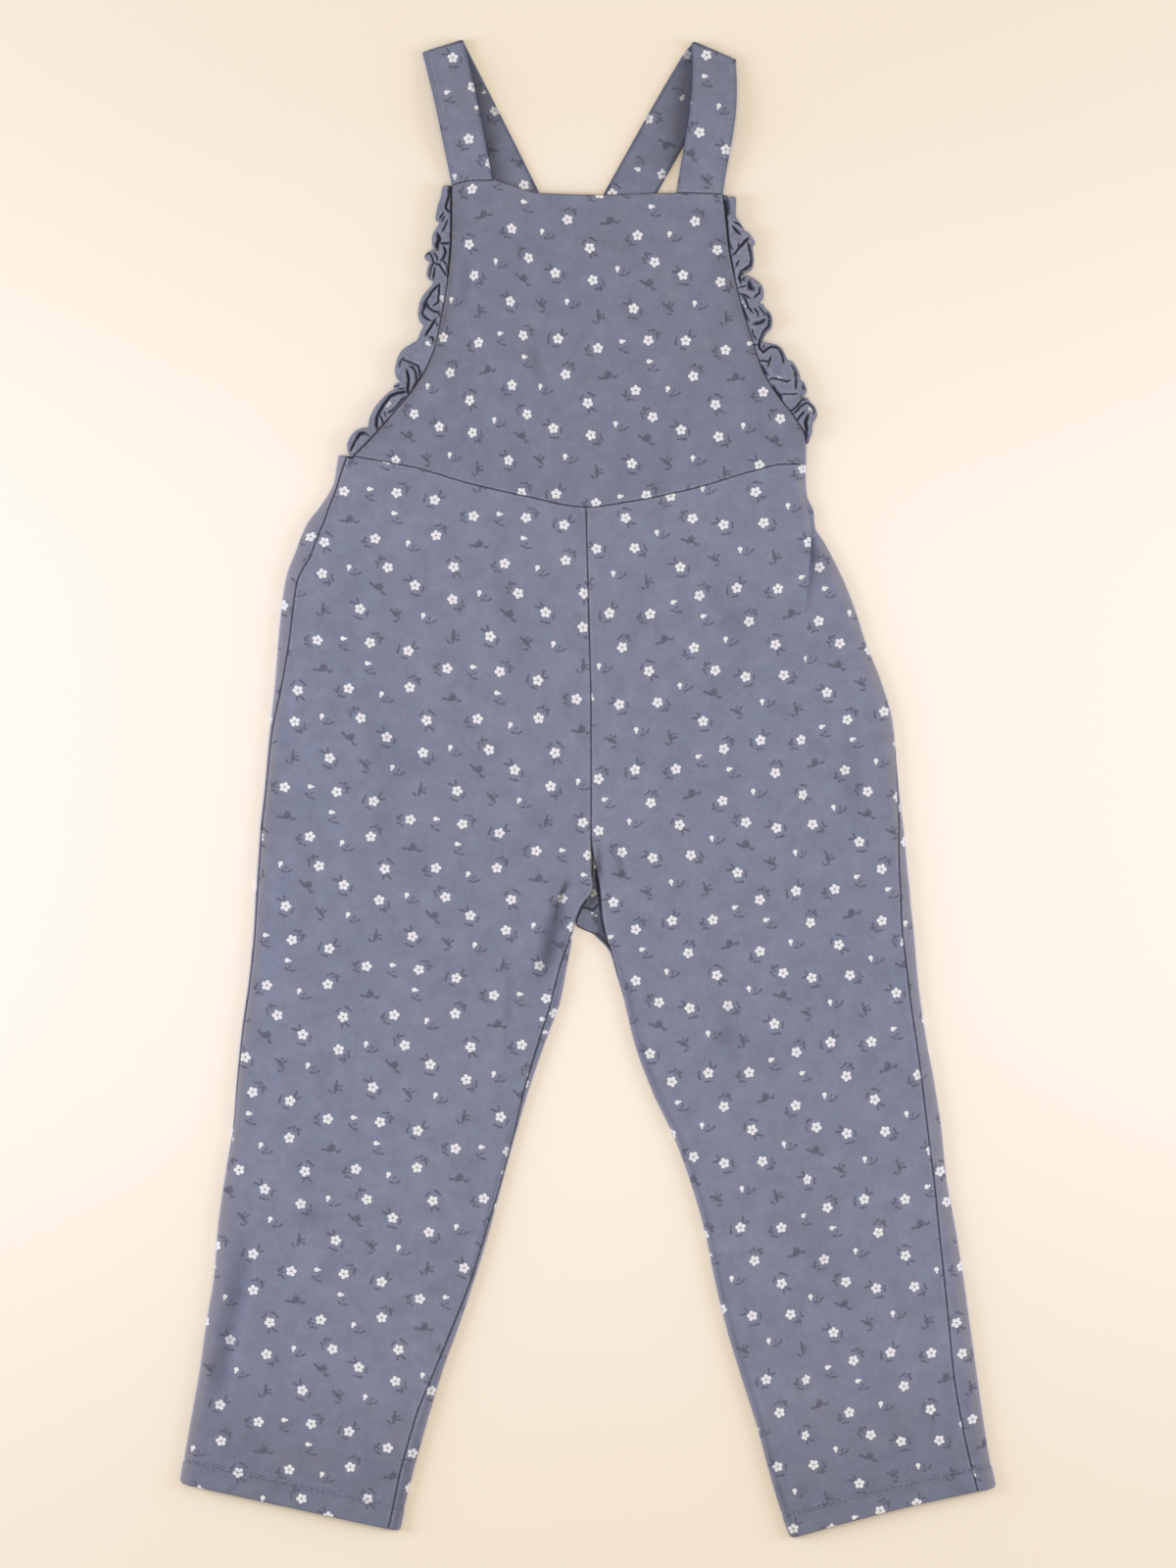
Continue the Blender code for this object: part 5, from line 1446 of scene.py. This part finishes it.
LEFT_RUFFLE = (
    (77.6, 331.2), (79.2, 332), (82.5, 331.9), (83.1, 330), (82.8, 324.5), (83.1, 320.7), (85.8, 316.8),
    (88, 313), (90.2, 311.9), (93, 308), (93.6, 305.4), (92.3, 304.2), (92.7, 300.3), (93, 295.4),
    (91.9, 291.5), (89.7, 289.9), (86.9, 289), (87.2, 287.9), (90.2, 287.7), (93.5, 286), (96.8, 283.3),
    (98.2, 280.5), (98.5, 276.1), (97.1, 273.6), (95.9, 272.2), (98.4, 271.9), (99, 270.1), (101.5, 268),
    (103.1, 265.1), (103.4, 261.3), (102.6, 258), (100.1, 255.8), (98.5, 253.6), (97.7, 251),
    (100.1, 250.4), (104.5, 249.4), (108.4, 247.5), (110.6, 243.7), (112.2, 240.4), (114.6, 239.8),
    (117.2, 236), (118.8, 232.1), (119.1, 229.6), (121, 228.3), (122.4, 225), (122.7, 222.9),
    (121.6, 221.1), (120.3, 220), (122.7, 219.5), (124.9, 216.7), (127.1, 214.5), (128.4, 211.2),
    (128.2, 208.5), (126, 204.6), (125.7, 200.2), (124.3, 196.4), (122.3, 193.4),
)

# %% Ruffle folds
# Columns: half width, depth, points (x, y) of the valley.
RIGHT_FOLDS = (
    (0.60, 2.6, ((-77.8, 338), (-78.2, 332), (-79.8, 325.6), (-77.6, 323))),
    (0.50, 2.2, ((-80.9, 322.9), (-83.1, 319.6))),
    (0.35, 1.4, ((-80, 321.2), (-82.2, 317.6))),
    (0.40, 1.8, ((-78.7, 319), (-80, 315.2), (-82, 311.9))),
    (0.90, 3.4, ((-84.4, 311.3), (-83.3, 308), (-84.7, 305.3), (-84.4, 302.5))),
    (0.50, 2.4, ((-83.3, 305.8), (-79.8, 305.8), (-77.3, 306.1))),
    (0.60, 2.8, ((-80.9, 304.2), (-79.8, 300.9), (-80.9, 297.6), (-82.5, 295.9))),
    (0.50, 2.4, ((-77.3, 303.6), (-77, 300.3), (-78.2, 295.4))),
    (0.42, 2.2, ((-90.2, 298.1), (-90.5, 299.6), (-88.6, 300.3), (-87.2, 297.6), (-86.6, 294.8),
        (-88, 292.1), (-88.8, 286.4))),
    (0.40, 1.6, ((-87, 301.4), (-84.7, 298.1), (-84.4, 295.6))),
    (0.45, 2.4, ((-86.6, 294.8), (-83.1, 293.7), (-80.9, 289.9), (-78.9, 287.1))),
    (0.40, 1.8, ((-82, 297), (-79.2, 293.7), (-78.7, 289.3))),
    (0.45, 2.2, ((-85.8, 292.6), (-86.6, 285.6))),
    (0.50, 2.6, ((-83.6, 282.7), (-86.9, 279.4), (-90.2, 274.5), (-91.3, 270.6), (-93, 266.8),
        (-91.3, 264), (-88, 262.4))),
    (1.10, 2.4, ((-91.2, 273), (-91.5, 269.5))),
    (0.45, 2.2, ((-83.1, 283.3), (-83.6, 277.8), (-83.9, 272.8), (-86.9, 270.6))),
    (0.45, 2.4, ((-90.2, 272.8), (-89.1, 269.5), (-86.4, 267.6), (-83.8, 267.3), (-82.9, 264.6))),
    (0.55, 3, ((-85.2, 263.5), (-88, 259), (-91.3, 253.8))),
    (0.40, 1.8, ((-85.3, 261.8), (-84.2, 259.1))),
    (0.45, 2, ((-89.1, 253.2), (-86.9, 253), (-86.6, 249.8))),
    (0.45, 2.4, ((-103.4, 240.6), (-99, 238.7), (-95.2, 237.1), (-94.3, 234.3), (-93.2, 232))),
    (0.50, 2, ((-103.1, 242), (-105.1, 239.3), (-105.9, 236))),
    (0.45, 2.4, ((-100.4, 237.1), (-97.9, 236), (-96.3, 232.7), (-96.3, 228.8), (-98.9, 222.4))),
    (0.65, 3.2, ((-101.5, 234.9), (-100.5, 230), (-101, 224.4), (-100.9, 221))),
    (0.40, 1.8, ((-94.9, 235), (-94.4, 231), (-95.6, 227.6))),
    (0.35, 1.8, ((-108.4, 225.6), (-106.2, 225.8), (-105.2, 226.8))),
    (0.35, 1.6, ((-106.7, 224), (-102.6, 224.5))),
    (0.70, 3.2, ((-101.8, 222.6), (-107.3, 221.7), (-110.6, 220.2), (-113.9, 216.2), (-116.6, 211.8),
        (-118.3, 207.9), (-118.7, 204.1), (-118.2, 201.6))),
    (0.40, 1.8, ((-116.6, 209.6), (-115.2, 206.3), (-115.2, 203.8))),
    (0.35, 1.6, ((-114.4, 211.8), (-113.3, 208.6))),
    (0.45, 2.2, ((-112.4, 210.9), (-110, 212), (-107.8, 213.9), (-104.4, 218.2), (-102.4, 219.9))),
    (0.80, 3, ((-129.8, 195.8), (-127.8, 199), (-124.6, 199.6))),
    (0.50, 2.4, ((-133, 189.4), (-131, 194), (-129.6, 196.6))),
    (0.40, 1.6, ((-124.6, 199.2), (-122.2, 197.6))),
)
LEFT_FOLDS = (
    (1.20, 3.2, ((77.8, 330.4), (78.3, 326.4), (77.9, 321.2))),
    (0.45, 2.4, ((78, 320), (78.3, 313.5), (78.9, 308), (79.8, 304.7), (81.3, 302))),
    (0.45, 2, ((81.4, 317.9), (84.7, 316.3), (87.2, 313.9))),
    (0.60, 1.8, ((80.9, 315.2), (83.6, 312.4), (85.3, 310.8))),
    (0.45, 2.2, ((84.4, 305.8), (84.7, 303.1), (82.5, 300.3), (80.6, 298.9))),
    (0.60, 2.8, ((90.4, 309.1), (87.5, 306.4), (85, 303.1))),
    (0.55, 3, ((89.7, 305.8), (90.8, 301.4), (91.6, 297), (90.9, 293.4), (88.6, 291.7), (85.8, 290),
        (84.7, 286.6), (85.8, 283.8))),
    (0.50, 1.2, ((82.6, 292.1), (84.7, 296.5))),
    (0.35, 1.8, ((88.6, 286.7), (86.8, 285.9), (88, 284.4))),
    (1.10, 3.2, ((90.2, 284.4), (91, 281), (93, 280))),
    (0.50, 2.4, ((96.3, 281.6), (95.8, 277.8), (93.2, 275.4))),
    (0.40, 2, ((84.4, 280.9), (88.4, 281.9))),
    (0.45, 2.2, ((84.9, 277.6), (88.6, 276.4), (90.8, 274.8))),
    (0.45, 2.4, ((86.4, 276.1), (88.2, 274.5), (89.7, 270.1), (92.4, 266.8))),
    (0.40, 2, ((93, 269.5), (94.9, 267.3), (95.4, 264.6))),
    (0.40, 2, ((95.7, 270.6), (98, 267.2), (99.6, 265.1))),
    (0.60, 2.8, ((86.6, 271.7), (87.8, 266.8), (90.2, 262))),
    (0.80, 2.8, ((93, 260.7), (96.8, 261.3), (99.2, 263.1))),
    (0.50, 3, ((100.3, 267.5), (101.8, 263.5), (101.2, 259.3), (98.3, 256.2), (96.3, 251.8),
        (95.8, 247.2), (98.3, 244.7), (100.7, 246.8), (102.9, 247.9), (106.2, 247.2), (108.6, 243.8),
        (109.6, 238.6))),
    (0.35, 1.8, ((98.3, 246.8), (98.6, 248.8))),
    (0.40, 1.8, ((92.2, 258.5), (92.4, 254.7), (94.1, 251.9))),
    (0.50, 2.4, ((92.8, 249.2), (95.7, 248.8))),
    (0.45, 2.2, ((95.8, 239.8), (98.5, 240.1), (101.5, 239.3), (102.6, 242.6))),
    (0.45, 2, ((101.5, 239.3), (100.9, 236.5))),
    (0.65, 2.8, ((97.6, 237.2), (99.3, 233.8), (101, 231.6))),
    (0.40, 2.2, ((101.2, 228.9), (103.4, 230.2), (107.3, 229.4), (111.7, 228.3), (113.6, 229.2))),
    (0.50, 2.4, ((113.6, 238), (116.1, 234.3), (116.6, 229.9), (116.3, 224.4))),
    (0.60, 2.4, ((120.3, 226.6), (121, 223.6))),
    (0.80, 3.2, ((103.8, 226), (105.3, 222.8), (107.9, 220.4), (108.4, 217.4))),
    (0.35, 1.4, ((107.8, 221.4), (112.8, 221.2), (117.7, 221.4))),
    (0.45, 2.4, ((112.2, 211.9), (114.6, 212.2), (117.7, 215.1), (119.9, 218.2), (122.1, 217.9))),
    (0.45, 2.4, ((115.2, 210), (119.4, 214.5), (122.1, 216.4), (124.3, 215.7), (126.4, 212.9),
        (126.4, 210.1))),
    (0.50, 2.6, ((117, 205.9), (118.6, 208.5), (121.3, 211.6))),
    (0.80, 3.2, ((123.4, 209.6), (121.9, 205.7), (122.5, 201.3), (122.4, 196.2))),
)

# %% Ruffle shells
RUFFLE_ROW, RUFFLE_COLUMNS = 0.5, 26
RUFFLE_WALL = 1.2
RUFFLE_TOP, RUFFLE_FOOT = 6.3, 1.7  # heights of the ridges and of the rolled edge's foot
RUFFLE_RISE = 2.2  # how far the cloth takes to rise from the seam
RUFFLE_ROLL = 1.3  # and to roll over at its edge
RUFFLE_LEAST = 2.0  # lowest height of a valley
RUFFLE_SEAM, RUFFLE_UNDER = 1.9, 0.3  # height of its sewn edge, and how far that lies under the bib
RUFFLE_SWELL, RUFFLE_SWELLS = 0.7, ((4, 7.5), (1.9, 2.5))  # the cloth's swell, slow and fast: size, seed
SEAM_STEPS, SEAM_SEARCH, SEAM_EASE = 400, 24, 6  # places along the sewn edge, and how they are matched
# above it the dark line along the sewn edge is also painted wider, as painted shadow
SLACK_FROM, SLACK_RUN = 283, 14  # above this the sewn edge is pulled low, in a dark groove
GATHERED = 1.3  # length of the strip for each mm of its outline
VALLEY_CLEAR, VALLEY_END = 2.6, 1.6  # how far a valley is felt, and how far it takes to reach its depth


def valleys(table):
    """Each straight run of each fold; a fold grows shallow towards its ends."""
    runs = []
    for half_width, depth, points in table:
        lengths = [0.0]
        for (x0, y0), (x1, y1) in zip(points, points[1:]):
            lengths.append(lengths[-1] + math.hypot(x1 - x0, y1 - y0))
        for k, ((x0, y0), (x1, y1)) in enumerate(zip(points, points[1:])):
            runs.append((half_width, depth, lengths[-1], lengths[k], x0, y0, x1 - x0, y1 - y0))
    return runs


def folded(runs, x, y):
    """How deep the folds lie at a point, and how near the closest one is in half widths."""
    deepest, nearest = 0.0, 9.0
    for half_width, depth, total, before, x0, y0, dx, dy in runs:
        beyond_x, beyond_y = abs(x - x0 - dx / 2) - abs(dx / 2), abs(y - y0 - dy / 2) - abs(dy / 2)
        if max(beyond_x, beyond_y) > VALLEY_CLEAR:
            continue
        share = clamp(((x - x0) * dx + (y - y0) * dy) / (dx * dx + dy * dy))
        off = math.hypot(x - x0 - dx * share, y - y0 - dy * share)
        along = before + share * math.hypot(dx, dy)
        ends = 0.35 + 0.65 * smooth(min(along, total - along) / VALLEY_END)
        deepest = max(deepest, depth * ends * math.exp(-((off / half_width) ** 1.6)))
        nearest = min(nearest, off / half_width + 0.8 * (1 - ends))
    return deepest, nearest


def along_edge(points, step):
    """The outline as a smooth curve (Catmull-Rom) with points close together."""
    found = []
    rows = [points[0], *points, points[-1]]
    for before, start, end, after in zip(rows, rows[1:], rows[2:], rows[3:]):
        count = max(round(math.dist(start, end) / step), 1)
        for k in range(count):
            t = k / count
            found.append(Vector([
                b + 0.5 * t * ((c - a) + t * ((2 * a - 5 * b + 4 * c - d) + t * (3 * (b - c) + d - a)))
                for a, b, c, d in zip(before, start, end, after)
            ]))
    return [*found, Vector(points[-1])]


def ruffle_spots(points, folds, side):
    """All spots of a ruffle, with a row for each place along its free edge."""
    outward = -1 if side == "right" else 1
    top, low = BIB_ENDS[side]
    runs = valleys(folds)
    edge = along_edge(points, RUFFLE_ROW)
    seam_ys = [top - (top - low) * k / SEAM_STEPS for k in range(SEAM_STEPS + 1)]
    seam_points = [Vector((BIB_SIDES[side].at(y) - outward * RUFFLE_UNDER, y)) for y in seam_ys]
    feet, lowest = [], 0
    for point in edge:
        near = range(lowest, min(lowest + SEAM_SEARCH, SEAM_STEPS + 1))
        lowest = min(near, key=lambda k: (seam_points[k] - point).length_squared)
        feet.append(lowest)
    eased = []
    for k in range(len(feet)):
        around = feet[max(k - SEAM_EASE, 0) : k + SEAM_EASE + 1]
        eased.append(sum(around) / len(around))
    eased[0], eased[-1] = 0.0, SEAM_STEPS * min((top - points[-1][1]) / (top - low), 1.0)
    spots, strip = [], 0.0
    for k, (point, foot) in enumerate(zip(edge, eased)):
        strip += (point - edge[k - 1]).length if k else 0.0
        whole = min(int(foot), SEAM_STEPS - 1)
        seam = seam_points[whole].lerp(seam_points[whole + 1], foot - whole)
        width = (point - seam).length
        # painted shadow: the dark line along the sewn edge is drawn wider where the edge is slack, in the
        # groove under the bib's edge
        slack = smooth((seam.y - SLACK_FROM) / SLACK_RUN)
        gap = 1.3 * slack - 0.4 + 1.1 * max(noise.noise(Vector((seam.y / 5, 0.5, 6.5))), -0.1)
        row = []
        for i in range(RUFFLE_COLUMNS + 1):
            out = i / RUFFLE_COLUMNS
            out = out + 0.12 * math.sin(2 * math.pi * out) * out
            here = seam.lerp(point, out)
            from_seam, from_edge = out * width, (1 - out) * width
            depth, nearest = folded(runs, here.x, here.y)
            slow, fast = [Vector((here.x / size, here.y / size, seed)) for size, seed in RUFFLE_SWELLS]
            up = RUFFLE_TOP + RUFFLE_SWELL * noise.noise(slow)
            rise = smooth((from_seam - 0.3) / (RUFFLE_RISE * (0.45 + 0.55 * slack)))
            z = RUFFLE_SEAM + (up - RUFFLE_SEAM) * rise
            z += RUFFLE_SWELL * noise.noise(fast) * smooth(from_seam / 2)
            z = max(z - depth, min(RUFFLE_LEAST, z))
            roll = 1 - min(from_edge / RUFFLE_ROLL, 1.0)
            z = RUFFLE_FOOT + (z - RUFFLE_FOOT) * math.sqrt(max(1 - roll * roll, 0.0))
            # the second distance is to the nearest valley, for its painted dark line and the painted
            # highlight beside it
            sewn = (max(from_seam - gap, 0.0), 0.45 * nearest, FAR)
            # painted shade: low cloth, the cloth beside a valley and the rolled edge are darkened
            deep = 0.55 * smooth((RUFFLE_TOP - 0.6 - z) / 3.4) * smooth(from_edge / RUFFLE_ROLL - 0.3)
            deep = max(deep, 0.46 * bell(nearest, 2.1), 0.40 * (1 - from_edge / RUFFLE_ROLL))
            row.append(Spot(here.x, here.y, z, strip * GATHERED, 20 + from_edge * 1.2, sewn, FAR, 0.0, deep))
        spots.append(row)
    return spots


for side, points, folds in (("right", RIGHT_RUFFLE, RIGHT_FOLDS), ("left", LEFT_RUFFLE, LEFT_FOLDS)):
    spots = ruffle_spots(points, folds, side)
    materials = (CLOTH["ruffles"], CLOTH["ruffles_inside"])
    cloth_wall(f"ruffle_{side}", spots, side == "left", materials, RUFFLE_WALL)
    print(f"ruffle_{side}: free edge {spots[-1][0].across / GATHERED:.0f} mm")

# %% [markdown]
# ## Stitches
#
# The hems are held by a line of stitches 14 mm above the edge. Each stitch is a short, plump piece of
# thread half sunk in the cloth. One stretched ball of few faces is enough for it, and all the stitches of a
# line become one mesh.

# %% Hem stitches
STITCH_LENGTH, STITCH_PITCH, STITCH_THICK = 2.2, 3.0, 0.38
STITCH_SINK, STITCH_UNEVEN = 0.2, 0.12  # how deep a stitch lies, and how much its length differs
HEM_WANDER = 1.3  # how far the line of stitches strays
HEM_END, HEM_PLACES = 1.5, 160  # where the line ends, mm from a seam, and points along it
THREAD, THREAD_WORN = (0.235, 0.245, 0.335), 1.25

THREAD_MATERIAL, n, shader = new_material("Thread")
worn = n.fade(n.noise(n.add("ShaderNodeTexCoord").outputs["Object"], 300.0), 0.65, 0.35)
pale = tuple(part * THREAD_WORN for part in THREAD)
n.put(shader.inputs["Base Color"], n.mix(worn, (*THREAD, 1.0), (*pale, 1.0), "RGBA"))
set_values(shader, {"Roughness": 0.7, "Sheen Weight": 0.2})


def stitch_line(name, points, normals):
    """Stitches along a line of points given close together."""
    bm = bmesh.new()
    walked, next_at, count = 0.0, STITCH_PITCH / 2, 0
    for (before, after), normal in zip(zip(points, points[1:]), normals):
        run = (after - before).length
        while walked + run >= next_at:
            middle = before.lerp(after, (next_at - walked) / run)
            along = (after - before).normalized()
            made = bmesh.ops.create_uvsphere(bm, u_segments=6, v_segments=5, radius=0.5)
            beside = normal.cross(along).normalized()
            length = STITCH_LENGTH * (1 + STITCH_UNEVEN * noise.noise(middle * 0.9))
            for vert in made["verts"]:
                a, b, c = vert.co
                vert.co = middle + along * c * length + beside * a * STITCH_THICK + normal * b * STITCH_THICK
            count += 1
            next_at += STITCH_PITCH
        walked += run
    bmesh.ops.scale(bm, vec=(MM, MM, MM), verts=bm.verts)
    bmesh.ops.recalc_face_normals(bm, faces=bm.faces)
    piece = new_object(name, bm)
    piece.data.shade_smooth()
    piece.data.materials.append(THREAD_MATERIAL)
    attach(piece, "root")
    print(name, count, "stitches")
    return piece


for (face, side), (leg, _, grain, slot) in LEG_PANELS.items():
    down = leg.length - HEM_DEPTH
    first, last = leg.edges(leg.row_at.at(down))
    points = []
    for k in range(HEM_PLACES + 1):
        place = first + HEM_END + (last - first - 2 * HEM_END) * k / HEM_PLACES
        there = down + HEM_WANDER * noise.noise(Vector((place / 9, 0.5, 8.5)))
        points.append(Vector(leg.spot(place, leg.row_at.at(there), first, last, there, grain)[:3]))
    down_leg = Vector((0, -1 if side == "left" else 1, 0))
    normals = [(after - before).cross(down_leg).normalized() for before, after in zip(points, points[1:])]
    points = [point - normal * STITCH_SINK for point, normal in zip(points, [*normals, normals[-1]])]
    stitch_line(f"Stitches_hem_{face}_{side}", points, normals)
